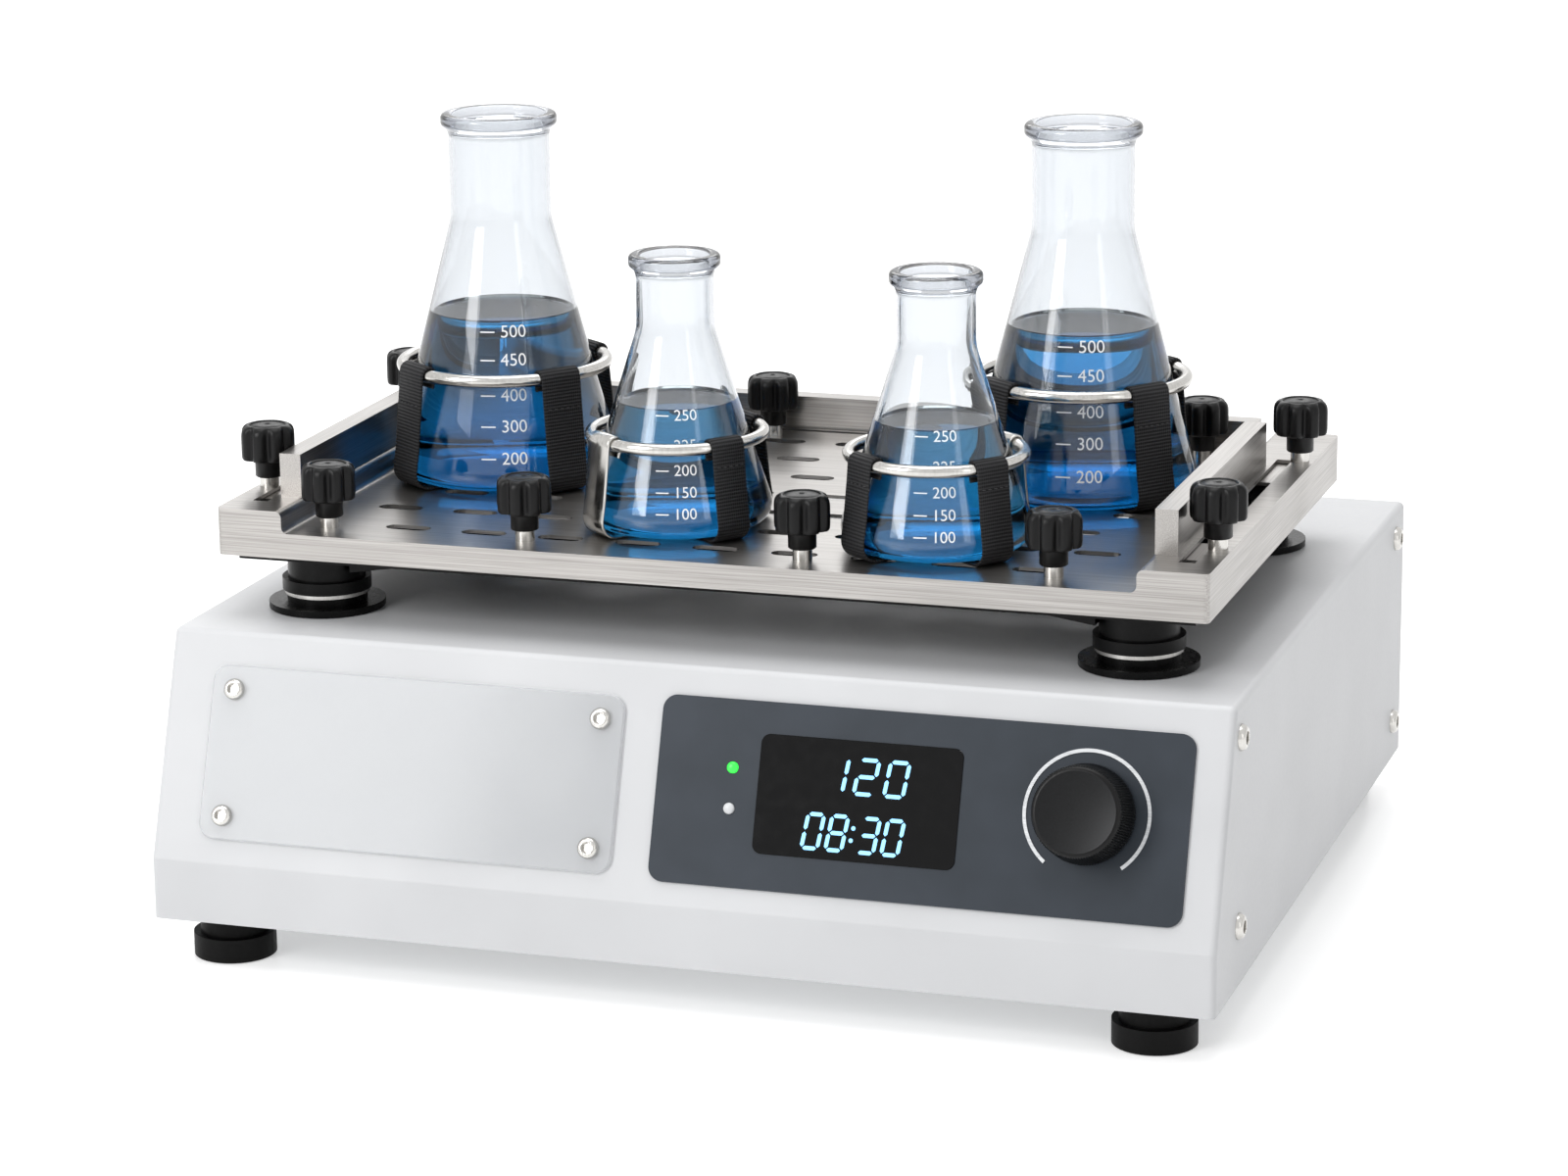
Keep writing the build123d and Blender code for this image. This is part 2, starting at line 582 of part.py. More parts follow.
def power_entry():
    """Inlet and switch frame in one moulding, let into the rear wall."""
    body = (ENTRY_WIDTH - 2 * ENTRY_BODY_INSET, ENTRY_HEIGHT - 2 * ENTRY_BODY_INSET)
    entry = Pos(0, ENTRY_FLANGE / 2, 0) * Box(ENTRY_WIDTH, ENTRY_FLANGE, ENTRY_HEIGHT)
    entry += Pos(0, -ENTRY_DEPTH / 2, 0) * Box(body[0], ENTRY_DEPTH, body[1])
    mouth = (Align.CENTER, Align.MAX, Align.CENTER)
    entry -= Pos(0, ENTRY_FLANGE, -SOCKET_DROP) * Box(SOCKET_WIDTH, SOCKET_DEPTH, SOCKET_HEIGHT, align=mouth)
    seat = (ROCKER_WIDTH + 2 * ROCKER_CLEARANCE, ROCKER_DEPTH + ROCKER_HEIGHT / 4, ROCKER_HEIGHT + 2 * ROCKER_CLEARANCE)
    entry -= Pos(0, ENTRY_FLANGE, ROCKER_LIFT) * Box(*seat, align=mouth)
    pin_bottom = ENTRY_FLANGE - SOCKET_DEPTH
    pin_foot = (Align.CENTER, Align.MIN, Align.CENTER)
    for x, z in ((-7, -2), (7, -2), (0, 3)):
        entry += Pos(x, pin_bottom, z - SOCKET_DROP) * Box(2, SOCKET_PIN_LENGTH, 4, align=pin_foot)
    axle = Pos(0, 0, ROCKER_LIFT) * Rot(0, 90, 0) * Cylinder(ROCKER_PIN_RADIUS, seat[0] + 2)
    return [Pos(ENTRY_X, REAR_Y, ENTRY_Z) * (entry + axle)]


def power_rocker():
    """Rocker with a bent face, pivoted on a cross pin."""
    half = ROCKER_HEIGHT / 2
    proud = ENTRY_FLANGE + ROCKER_DEPTH / 4
    lean = half * math.tan(math.radians(ROCKER_TILT / 2))
    back = proud - ROCKER_DEPTH
    side = [(-half, proud + lean), (0, proud - lean), (half, proud - lean), (half / 2, back), (-half / 2, back)]
    face = Plane.YZ * make_face(Polyline(*[(y, z) for z, y in side], close=True))
    rocker = extrude(face, ROCKER_WIDTH / 2, both=True)
    rocker -= Rot(0, 90, 0) * Cylinder(ROCKER_PIN_RADIUS + RUNNING_FIT, ROCKER_WIDTH + 2)
    return [Pos(ENTRY_X, REAR_Y, ENTRY_Z + ROCKER_LIFT) * rocker]


def power_supply():
    """Boxed supply on four short legs."""
    bottom = BASE_FLOOR + SUPPLY_STANDOFF
    half_x, half_y = SUPPLY_WIDTH / 2, SUPPLY_DEPTH / 2
    box = block(-half_x, half_x, -half_y, half_y, bottom, bottom + SUPPLY_HEIGHT)
    for sx in (-1, 1):
        for sy in (-1, 1):
            foot = (sx * (half_x - SUPPLY_STANDOFF), sy * (half_y - SUPPLY_STANDOFF))
            box += Pos(*foot, BASE_FLOOR) * Box(SUPPLY_STANDOFF, SUPPLY_STANDOFF, SUPPLY_STANDOFF, align=BASE)
    return [Pos(SUPPLY_X, SUPPLY_Y, 0) * box]


def spindle_housing():
    half = SPINDLE_FLANGE / 2
    body = block(-half, half, -half, half, BASE_FLOOR, BASE_FLOOR + SPINDLE_FLANGE_THICKNESS)
    body += rod(SPINDLE_HOUSING_RADIUS, BASE_FLOOR, SPINDLE_TOP)
    body -= rod(SPINDLE_BEARING_RADIUS, SPINDLE_TOP - SPINDLE_BEARING_HEIGHT, SPINDLE_TOP + 1)
    body -= rod(SPINDLE_BEARING_RADIUS, BASE_FLOOR - 1, BASE_FLOOR + SPINDLE_BEARING_HEIGHT + STACK_GAP)
    body -= rod(SPINDLE_RADIUS + 2 * STACK_GAP, BASE_FLOOR, SPINDLE_TOP)
    return [Pos(0, ORBIT_Y, 0) * body]


def ball_bearings():
    """Bearings of the spindle and of the four idlers, as plain rings."""
    spindle = (SPINDLE_BEARING_RADIUS, SPINDLE_RADIUS + RUNNING_FIT)
    rings = [tube(*spindle, SPINDLE_TOP - SPINDLE_BEARING_HEIGHT, SPINDLE_TOP)]
    rings += [tube(*spindle, BASE_FLOOR + STACK_GAP, BASE_FLOOR + STACK_GAP + SPINDLE_BEARING_HEIGHT)]
    rings = [Pos(0, ORBIT_Y, 0) * ring for ring in rings]
    idler = tube(IDLER_BEARING_RADIUS, IDLER_SHAFT_RADIUS + RUNNING_FIT, IDLER_TOP - IDLER_BEARING_HEIGHT, IDLER_TOP)
    return rings + [Pos(x, ORBIT_Y + y, 0) * idler for x, y in POSTS]


def drive_spindle():
    """Shaft with an eccentric pin on its top web."""
    web_top = WEB_BOTTOM + ECCENTRIC_WEB_HEIGHT
    shaft = rod(SPINDLE_RADIUS, BASE_FLOOR + STACK_GAP, WEB_BOTTOM) + rod(ECCENTRIC_WEB_RADIUS, WEB_BOTTOM, web_top)
    shaft = Pos(0, ORBIT_Y, 0) * shaft
    return [shaft + on_platform(rod(ECCENTRIC_PIN_RADIUS, web_top, HUB_BOTTOM + CARRIER_HUB_HEIGHT))]


def spindle_pulley():
    pulley = tube(BIG_PULLEY_RADIUS, SPINDLE_RADIUS + RUNNING_FIT, PULLEY_BOTTOM, PULLEY_BOTTOM + PULLEY_HEIGHT)
    return [Pos(0, ORBIT_Y, 0) * pulley]


def counterweight():
    """Half disc on the far side of the shaft from the eccentric pin."""
    top = COUNTERWEIGHT_BOTTOM + COUNTERWEIGHT_THICKNESS
    weight = rod(COUNTERWEIGHT_RADIUS, COUNTERWEIGHT_BOTTOM, top)
    reach = 2 * COUNTERWEIGHT_RADIUS
    weight -= block(0, reach, -reach, reach, COUNTERWEIGHT_BOTTOM - 1, top + 1)
    weight += rod(COUNTERWEIGHT_HUB, COUNTERWEIGHT_BOTTOM - 2 * STACK_GAP, top)
    weight -= rod(SPINDLE_RADIUS + RUNNING_FIT, COUNTERWEIGHT_BOTTOM - 5, top + 1)
    return [Pos(0, ORBIT_Y, 0) * Rot(0, 0, REST_PHASE) * weight]


def belt_loop(radius_small, radius_big):
    """Filled outline of a belt round the two pulleys."""
    circles = Pos(MOTOR_X, MOTOR_Y) * Circle(radius_small) + Pos(0, ORBIT_Y) * Circle(radius_big)
    return make_hull(circles.edges())


def drive_belt():
    inner = belt_loop(SMALL_PULLEY_RADIUS + BELT_GAP, BIG_PULLEY_RADIUS + BELT_GAP)
    thick = BELT_GAP + BELT_THICKNESS
    outer = belt_loop(SMALL_PULLEY_RADIUS + thick, BIG_PULLEY_RADIUS + thick)
    return [Pos(0, 0, PULLEY_BOTTOM + STACK_GAP) * extrude(outer - inner, BELT_WIDTH)]


def motor_pulley():
    """Motor shaft with its flanged pulley."""
    top = PULLEY_BOTTOM + PULLEY_HEIGHT + STACK_GAP
    flange = SMALL_PULLEY_RADIUS + PULLEY_FLANGE
    low = PULLEY_BOTTOM + STACK_GAP / 2
    high = PULLEY_BOTTOM + PULLEY_HEIGHT - STACK_GAP / 2
    pulley = turned(
        (0, SPINDLE_TOP - BRACKET_WALL - STACK_GAP), (MOTOR_SHAFT_RADIUS, SPINDLE_TOP - BRACKET_WALL - STACK_GAP),
        (MOTOR_SHAFT_RADIUS, low - PULLEY_FLANGE_THICKNESS), (flange, low - PULLEY_FLANGE_THICKNESS), (flange, low),
        (SMALL_PULLEY_RADIUS, low), (SMALL_PULLEY_RADIUS, high), (flange, high),
        (flange, high + PULLEY_FLANGE_THICKNESS), (0, high + PULLEY_FLANGE_THICKNESS),
    )
    return [Pos(MOTOR_X, MOTOR_Y, 0) * pulley]


def motor_bracket():
    """Folded bridge that the motor hangs from."""
    half = MOTOR_SIZE / 2 + BRACKET_WALL + STACK_GAP
    bridge = block(-half, half, -half, half, BASE_FLOOR, SPINDLE_TOP)
    bridge -= block(BRACKET_WALL - half, half - BRACKET_WALL, -half - 1, half + 1, BASE_FLOOR - 1, SPINDLE_TOP - BRACKET_WALL)
    bridge -= rod(MOTOR_SHAFT_RADIUS + STACK_GAP, SPINDLE_TOP - 10, SPINDLE_TOP + 1)
    return [Pos(MOTOR_X, MOTOR_Y, 0) * bridge]


def drive_motor():
    top = SPINDLE_TOP - BRACKET_WALL
    body = Pos(0, 0, top - MOTOR_HEIGHT) * extrude(RectangleRounded(MOTOR_SIZE, MOTOR_SIZE, 8), MOTOR_HEIGHT)
    body -= rod(MOTOR_SHAFT_RADIUS + RUNNING_FIT, top - 2 * STACK_GAP, top + 1)
    return [Pos(MOTOR_X, MOTOR_Y, 0) * body]


def idler_pedestals():
    half = IDLER_FLANGE / 2
    body = block(-half, half, -half, half, BASE_FLOOR, BASE_FLOOR + IDLER_FLANGE_THICKNESS)
    body += rod(IDLER_PEDESTAL_RADIUS, BASE_FLOOR, IDLER_TOP)
    body -= rod(IDLER_BEARING_RADIUS, IDLER_TOP - IDLER_BEARING_HEIGHT, IDLER_TOP + 1)
    body -= rod(IDLER_SHAFT_RADIUS + RUNNING_FIT, BASE_FLOOR + 2 * STACK_GAP, IDLER_TOP)
    return [Pos(x, ORBIT_Y + y, 0) * body for x, y in POSTS]


def idler_crank(x, y):
    """Short crank: shaft in the pedestal, web, and a pin in the post's boss."""
    crank = rod(IDLER_SHAFT_RADIUS, BASE_FLOOR + 3 * STACK_GAP, IDLER_TOP + STACK_GAP)
    crank += rod(IDLER_WEB_RADIUS, IDLER_TOP + STACK_GAP, IDLER_WEB_TOP)
    pin_x, pin_y = PLATFORM_X, PLATFORM_Y - ORBIT_Y
    crank += Pos(pin_x, pin_y, 0) * rod(IDLER_SHAFT_RADIUS, IDLER_WEB_TOP, BOSS_BOTTOM + IDLER_PIN_REACH)
    return [Pos(x, ORBIT_Y + y, 0) * crank]


def inner_carrier():
    """Spider that ties the four posts to the hub of the eccentric."""
    frame = Polyline(*[(x, y) for x, y in (POSTS[0], POSTS[1], POSTS[3], POSTS[2])], close=True)
    plate = make_hull([edge for x, y in POSTS for edge in (Pos(x, y) * Circle(CARRIER_ARM_WIDTH / 2)).edges()])
    plate -= offset(make_face(frame), -CARRIER_ARM_WIDTH / 2, kind=Kind.INTERSECTION)
    for x, y in POSTS:
        reach = math.hypot(x, y)
        arm = Rectangle(reach, CARRIER_ARM_WIDTH, align=(Align.MIN, Align.CENTER))
        plate += Rot(0, 0, math.degrees(math.atan2(y, x))) * arm
    spider = Pos(0, 0, CARRIER_BOTTOM) * extrude(plate, CARRIER_THICKNESS)
    spider += rod(CARRIER_HUB_RADIUS, HUB_BOTTOM, HUB_BOTTOM + CARRIER_HUB_HEIGHT)
    spider -= rod(SPINDLE_BEARING_RADIUS, HUB_BOTTOM + 2 * STACK_GAP, HUB_BOTTOM + CARRIER_HUB_HEIGHT + 1)
    spider -= rod(ECCENTRIC_PIN_RADIUS + 2 * STACK_GAP, HUB_BOTTOM - 1, HUB_BOTTOM + CARRIER_HUB_HEIGHT)
    for x, y in POSTS:
        spider += Pos(x, y, 0) * rod(CARRIER_BOSS_RADIUS, BOSS_BOTTOM, CARRIER_BOTTOM)
        spider -= Pos(x, y, 0) * rod(IDLER_SHAFT_RADIUS + OPEN_PIVOT_CLEARANCE, BOSS_BOTTOM - 1, CARRIER_TOP + 1)
    return [on_platform(spider)]


def hub_bearing():
    ring = tube(SPINDLE_BEARING_RADIUS, ECCENTRIC_PIN_RADIUS + RUNNING_FIT, HUB_BOTTOM + 2 * STACK_GAP, HUB_BOTTOM + CARRIER_HUB_HEIGHT)
    return [on_platform(ring)]


def support_posts():
    """Posts bolted between the carrier and the subframe."""
    post = turned(
        (IDLER_SHAFT_RADIUS + OPEN_PIVOT_CLEARANCE, CARRIER_TOP), (POST_SHAFT_RADIUS, CARRIER_TOP),
        (POST_SHAFT_RADIUS, POST_COLLAR_BOTTOM), (POST_COLLAR_RADIUS, POST_COLLAR_BOTTOM),
        (POST_COLLAR_RADIUS, POST_COLLAR_BOTTOM + POST_COLLAR_HEIGHT),
        (POST_NECK_RADIUS, POST_COLLAR_BOTTOM + POST_COLLAR_HEIGHT), (POST_NECK_RADIUS, SUBFRAME_BOTTOM),
        (0, SUBFRAME_BOTTOM), (0, CARRIER_TOP + IDLER_PIN_REACH),
        (IDLER_SHAFT_RADIUS + OPEN_PIVOT_CLEARANCE, CARRIER_TOP + IDLER_PIN_REACH),
    )
    return [on_platform(Pos(x, y, 0) * post) for x, y in POSTS]


def seal_discs():
    """Discs that slide over the cover's holes with the posts."""
    bore = POST_SHAFT_RADIUS + POST_FIT
    disc = turned(
        (bore, SEAL_BOTTOM), (SEAL_RADIUS, SEAL_BOTTOM), (SEAL_RADIUS, SEAL_BOTTOM + SEAL_THICKNESS),
        (SEAL_HUB_RADIUS, SEAL_BOTTOM + SEAL_THICKNESS), (SEAL_HUB_RADIUS, SEAL_TOP), (bore, SEAL_TOP),
    )
    return [on_platform(Pos(x, y, 0) * disc) for x, y in POSTS]


def post_rings():
    ring = tube(POST_RING_RADIUS, POST_SHAFT_RADIUS + POST_FIT, SEAL_TOP, POST_COLLAR_BOTTOM)
    return [on_platform(Pos(x, y, 0) * ring) for x, y in POSTS]


def subframe():
    """Plate with a raised seat for the deck round its window, and a tapered rib at each post."""
    half_x, half_y = TRAY_WIDTH / 2 - SUBFRAME_INSET, TRAY_DEPTH / 2 - SUBFRAME_INSET
    plate = block(-half_x, half_x, -half_y, half_y, SUBFRAME_BOTTOM, TRAY_BOTTOM)
    inner_x, inner_y = half_x - SUBFRAME_BEAM, half_y - SUBFRAME_BEAM
    seat_x, seat_y = inner_x + SUBFRAME_SEAT, inner_y + SUBFRAME_SEAT
    plate += block(-seat_x, seat_x, -seat_y, seat_y, TRAY_BOTTOM, DECK_TOP - TRAY_SHEET)
    plate -= block(-inner_x, inner_x, -inner_y, inner_y, SUBFRAME_BOTTOM - 1, DECK_TOP)
    rib_start = POST_NECK_RADIUS - 1
    rib = Polyline((rib_start, 0), (rib_start, -GUSSET_HEIGHT), (rib_start + GUSSET_LENGTH, 0), close=True)
    for x, y in POSTS:
        turn = 180 if x > 0 else 0
        solid = Rot(0, 0, turn) * extrude(Plane.XZ * make_face(rib), POST_NECK_RADIUS * 0.7, both=True)
        plate += Pos(x, y, SUBFRAME_BOTTOM) * (solid - rod(POST_NECK_RADIUS, -GUSSET_HEIGHT - 1, 0))
    return [on_platform(plate)]


def tray_outline(inset, bottom):
    """Stepped section of the tray seen from the front, moved in by inset."""
    half = TRAY_WIDTH / 2 - inset
    rail = TRAY_WIDTH / 2 - RAIL_WIDTH + inset
    corners = [(half, bottom), (half, RAIL_TOP - inset), (rail, RAIL_TOP - inset), (rail, DECK_TOP - inset)]
    corners += [(-x, z) for x, z in reversed(corners)]
    return make_face(Polyline(*corners, close=True))


def tray_section(inset, bottom):
    """The stepped section with its two rail steps rounded."""
    face = tray_outline(inset, bottom)
    rail = TRAY_WIDTH / 2 - RAIL_WIDTH + inset
    steps = [v for v in face.vertices() if abs(abs(v.X) - rail) < 0.01]
    return Plane.XZ * fillet(steps, TRAY_BEND)


def slot_outline(length, width):
    """Slot with many-sided round ends, long side along X."""
    turns = [math.radians(90 - 180 * step / SLOT_END_SIDES) for step in range(SLOT_END_SIDES + 1)]
    straight = (length - width) / 2
    end = [(straight + width / 2 * math.cos(turn), width / 2 * math.sin(turn)) for turn in turns]
    return make_face(Polyline(*end, *[(-x, -y) for x, y in end], close=True))


def deck_slot_places():
    """Staggered rows of slots, centre to centre, over the free deck."""
    places = []
    row_y = DECK_MARGIN_FRONT - TRAY_DEPTH / 2
    row = 0
    while row_y <= TRAY_DEPTH / 2 - DECK_MARGIN_REAR:
        count = int((TRAY_WIDTH - 2 * RAIL_WIDTH - 2 * DECK_MARGIN_X + DECK_SLOT_LENGTH) / DECK_PITCH_X) + row % 2
        places += [((column - (count - 1) / 2) * DECK_PITCH_X, row_y) for column in range(count)]
        row_y += DECK_PITCH_Y
        row += 1
    return places


def rail_slot_x():
    return BAR_CENTRE_X + BAR_WIDTH / 2 + RAIL_SLOT_GAP + RAIL_SLOT_WIDTH / 2


def lug_places():
    return [RAIL_KNOB_FRONT, RAIL_KNOB_REAR - TAB_LENGTH]


def platform_tray():
    """Folded stainless tray: perforated deck, raised side rails, skirts all round."""
    tray = extrude(tray_section(0, TRAY_BOTTOM), TRAY_DEPTH / 2, both=True)
    uprights = tray.edges().filter_by(Axis.Z)
    tray = fillet([e for e in uprights if abs(abs(e.center().X) - TRAY_WIDTH / 2) < 0.01], 2 * TRAY_EDGE_RADIUS)
    tray -= extrude(tray_section(TRAY_SHEET, TRAY_BOTTOM - 5), TRAY_DEPTH / 2 - TRAY_SHEET, both=True)
    slot = extrude(slot_outline(DECK_SLOT_LENGTH, DECK_SLOT_WIDTH), 2 * TRAY_SHEET, both=True)
    for x, y in deck_slot_places():
        tray -= Pos(x, y, DECK_TOP) * slot
    length = RAIL_SLOT_REAR - RAIL_SLOT_FRONT
    middle = (RAIL_SLOT_REAR + RAIL_SLOT_FRONT) / 2
    for side in (-1, 1):
        tray -= Pos(side * rail_slot_x(), middle, RAIL_TOP) * Box(RAIL_SLOT_WIDTH, length, 4 * TRAY_SHEET)
        for y in lug_places():
            size = (LUG_WIDTH + 2 * LUG_CLEARANCE, LUG_LENGTH + 2 * BAR_TRAVEL + 2 * LUG_CLEARANCE)
            tray -= Pos(side * BAR_CENTRE_X, y, RAIL_TOP) * Box(*size, 4 * TRAY_SHEET)
    rear_slot = TRAY_DEPTH / 2 - BAR_WIDTH - REAR_SLOT_WIDTH / 2
    tray -= Pos(0, rear_slot, DECK_TOP) * Box(REAR_BAR_LENGTH - 2 * BAR_WIDTH, REAR_SLOT_WIDTH - 2, 4 * TRAY_SHEET)
    for x, y, z in knob_places().values():
        tray -= Pos(x, y, 0) * rod(STUD_SHANK_RADIUS + BOLT_CLEARANCE, z - 2 * TRAY_SHEET, z + 1)
    return [on_platform(tray)]


def clamp_bar(side):
    """Box-section bar on a rail, with two lugs and tabs that hold it under the rail."""
    outer = Box(BAR_WIDTH, BAR_LENGTH, BAR_HEIGHT, align=BASE)
    inner = Pos(0, 0, BAR_WALL) * Box(BAR_WIDTH - 2 * BAR_WALL, BAR_LENGTH - 2 * BAR_WALL, BAR_HEIGHT - 2 * BAR_WALL, align=BASE)
    bar = Pos(BAR_CENTRE_X, BAR_CENTRE_Y, RAIL_TOP) * (outer - inner)
    tab_top = RAIL_TOP - TRAY_SHEET - LUG_CLEARANCE
    tab_end = RAIL_KNOB_X + STUD_SHANK_RADIUS
    groove = 2 * (STUD_SHANK_RADIUS + LUG_CLEARANCE)
    for lug_y, knob_y in zip(lug_places(), (RAIL_KNOB_FRONT, RAIL_KNOB_REAR)):
        half = LUG_LENGTH / 2
        inner_x, outer_x = BAR_CENTRE_X - LUG_WIDTH / 2, BAR_CENTRE_X + LUG_WIDTH / 2
        bar += block(inner_x, outer_x, lug_y - half, lug_y + half, tab_top - TAB_THICKNESS, RAIL_TOP)
        low, high = min(lug_y - half, knob_y - TAB_LENGTH / 2), knob_y + TAB_LENGTH / 2
        bar += block(inner_x, tab_end, low, high, tab_top - TAB_THICKNESS, tab_top)
        fork = Box(2 * groove, groove + 2 * BAR_TRAVEL, 4 * TAB_THICKNESS, align=(Align.MIN, Align.CENTER, Align.CENTER))
        bar -= Pos(RAIL_KNOB_X - groove / 2, knob_y, tab_top) * fork
    if side < 0:
        bar = mirror(bar, Plane.YZ)
    return [on_platform(bar)]


def rear_bar():
    """Fixed box-section bar along the rear of the deck."""
    outer = Box(REAR_BAR_LENGTH, BAR_WIDTH, REAR_BAR_HEIGHT, align=BASE)
    inner = Pos(0, 0, BAR_WALL) * Box(REAR_BAR_LENGTH - 2 * BAR_WALL, BAR_WIDTH - 2 * BAR_WALL, REAR_BAR_HEIGHT - 2 * BAR_WALL, align=BASE)
    return [on_platform(Pos(0, TRAY_DEPTH / 2 - BAR_WIDTH / 2, DECK_TOP) * (outer - inner))]


def knob_places():
    """Star knobs by name, with the place of each stud on the platform."""
    places = {}
    for name, side in (("left", -1), ("right", 1)):
        places[f"star_knob_rail_{name}_front"] = (side * RAIL_KNOB_X, RAIL_KNOB_FRONT, RAIL_TOP)
        places[f"star_knob_rail_{name}_rear"] = (side * RAIL_KNOB_X, RAIL_KNOB_REAR, RAIL_TOP)
    for number, x in enumerate(DECK_KNOBS_FRONT_X, start=1):
        places[f"star_knob_front_{number}"] = (x, DECK_KNOB_FRONT, DECK_TOP)
    for number, x in enumerate(DECK_KNOBS_REAR_X, start=1):
        places[f"star_knob_rear_{number}"] = (x, DECK_KNOB_REAR, DECK_TOP)
    return places


def knob_studs():
    """Studs clamped in the sheet between their shoulder and a head below."""
    studs = []
    for x, y, z in knob_places().values():
        head_top = z - TRAY_SHEET
        if z == RAIL_TOP:
            head_top -= 2 * LUG_CLEARANCE + TAB_THICKNESS
        stud = rod(STUD_RADIUS, z, z + STUD_SHOWN + STUD_THREAD) + rod(STUD_SHANK_RADIUS, head_top, z)
        stud += Pos(0, 0, head_top - STUD_HEAD_HEIGHT) * extrude(RegularPolygon(STUD_HEAD_RADIUS, 6), STUD_HEAD_HEIGHT)
        studs.append(on_platform(Pos(x, y, 0) * stud))
    return studs


def lobed_outline():
    """Grip outline: flat lobes with a shallow groove between them."""
    points = []
    step = 360 / KNOB_LOBES
    for lobe in range(KNOB_LOBES):
        angles = (lobe * step - KNOB_LOBE_HALF_ANGLE, lobe * step + KNOB_LOBE_HALF_ANGLE, (lobe + 0.5) * step)
        for angle, reach in zip(angles, (KNOB_RADIUS, KNOB_RADIUS, KNOB_RADIUS - KNOB_GROOVE)):
            points.append((reach * math.cos(math.radians(angle)), reach * math.sin(math.radians(angle))))
    return make_face(Polyline(*points, close=True))


def star_knob(x, y, z):
    bottom = z + STUD_SHOWN
    head = bottom + KNOB_COLLAR_HEIGHT
    knob = Pos(0, 0, head) * extrude(lobed_outline(), KNOB_HEAD_HEIGHT)
    knob = chamfer(knob.faces().sort_by(Axis.Z)[-1].edges(), KNOB_BEVEL)
    knob += rod(KNOB_COLLAR_RADIUS, bottom, head)
    knob -= rod(STUD_RADIUS + STUD_CLEARANCE, bottom - 1, bottom + STUD_THREAD + STACK_GAP)
    return [on_platform(Pos(x, y, 0) * knob)]


def flask_radius(size, height):
    """Outer radius of the flask's cone at a height above its base."""
    share = (height - GLASS_BASE_ROUND) / (size["bend"] - GLASS_BASE_ROUND)
    return size["base"] + share * (size["neck"] - size["base"])


def base_curve(radius, bottom, round_radius):
    """Points of the rounded heel between a flat base and the cone."""
    angles = [math.radians(angle) for angle in (-90, -45, 0)]
    centre = (radius - round_radius, bottom + round_radius)
    return [(centre[0] + round_radius * math.cos(a), centre[1] + round_radius * math.sin(a)) for a in angles]


def flask(size, x, y):
    """Conical flask: flat base, rounded heel, cone, straight neck and beaded rim."""
    top, neck, rim, bend = size["height"], size["neck"], size["rim"], size["bend"]
    heel = base_curve(size["base"], 0, GLASS_BASE_ROUND)
    inner_heel = base_curve(size["base"] - GLASS_WALL, GLASS_WALL, GLASS_BASE_ROUND - GLASS_WALL)
    outline = [(0, 0)] + heel + [(neck, bend), (neck, top - RIM_HEIGHT), (rim, top - RIM_HEIGHT / 2), (rim, top)]
    outline += [(neck - GLASS_WALL, top), (neck - GLASS_WALL, bend)] + inner_heel[::-1] + [(0, GLASS_WALL)]
    return [on_platform(Pos(x, y, FLASK_FLOOR) * turned(*outline))]


def flask_liquid():
    """Filling of each flask, up to its level."""
    fills = []
    for size, holder, x, y in FLASKS.values():
        wall = GLASS_WALL + LIQUID_GAP
        heel = base_curve(size["base"] - wall, wall, GLASS_BASE_ROUND - wall)
        level = size["level"]
        outline = [(0, wall)] + heel + [(flask_radius(size, level) - wall, level), (0, level)]
        fills.append(on_platform(Pos(x, y, FLASK_FLOOR) * turned(*outline)))
    return fills


def leg_section(size, holder):
    """Side view of a leg: under the base, up outside the cone, and a sleeve round the wire."""
    sleeve = sleeve_sizes(holder)
    start = holder["strap"] / 2 + STACK_GAP
    foot = size["base"] + STRAP_GAP
    middle = holder["ring"] - sleeve["sag"] / 2
    wire_z = STRAP_THICKNESS + holder["height"]
    outer = middle + sleeve["outer"]
    top = wire_z + sleeve["outer"]
    low = wire_z - sleeve["outer"]
    points = [(start, 0), (foot + STRAP_THICKNESS, 0), (foot + STRAP_THICKNESS, GLASS_BASE_ROUND)]
    points += [(outer, low), (outer, top), (middle - sleeve["outer"], top), (middle - sleeve["outer"], low)]
    points += [(outer - STRAP_THICKNESS, low), (foot, GLASS_BASE_ROUND), (foot, STRAP_THICKNESS), (start, STRAP_THICKNESS)]
    hole = Pos(middle, wire_z) * Rectangle(2 * sleeve["hole"], 2 * sleeve["hole"])
    return make_face(Polyline(*points, close=True)) - hole


def sleeve_sizes(holder):
    """Half sizes of a leg's sleeve, which clears the wire's curve across the leg's width."""
    half = holder["strap"] / 2
    sag = holder["ring"] - math.sqrt(holder["ring"] ** 2 - half ** 2)
    hole = holder["wire"] + sag / 2 + RUNNING_FIT
    return {"sag": sag, "hole": hole, "outer": hole + STRAP_SLEEVE}


def holder_leg(name, number):
    size, holder, x, y = FLASKS[name]
    leg = extrude(Plane.XZ * leg_section(size, holder), holder["strap"] / 2, both=True)
    turn = LEG_START + number * 360 / LEG_COUNT
    return on_platform(Pos(x, y, DECK_TOP) * Rot(0, 0, turn) * leg)


def holder_straps():
    """Webbing legs, all but the two that are steel."""
    legs = [(name, number) for name in FLASKS for number in range(LEG_COUNT)]
    return [holder_leg(*leg) for leg in legs if leg not in STEEL_LEGS]


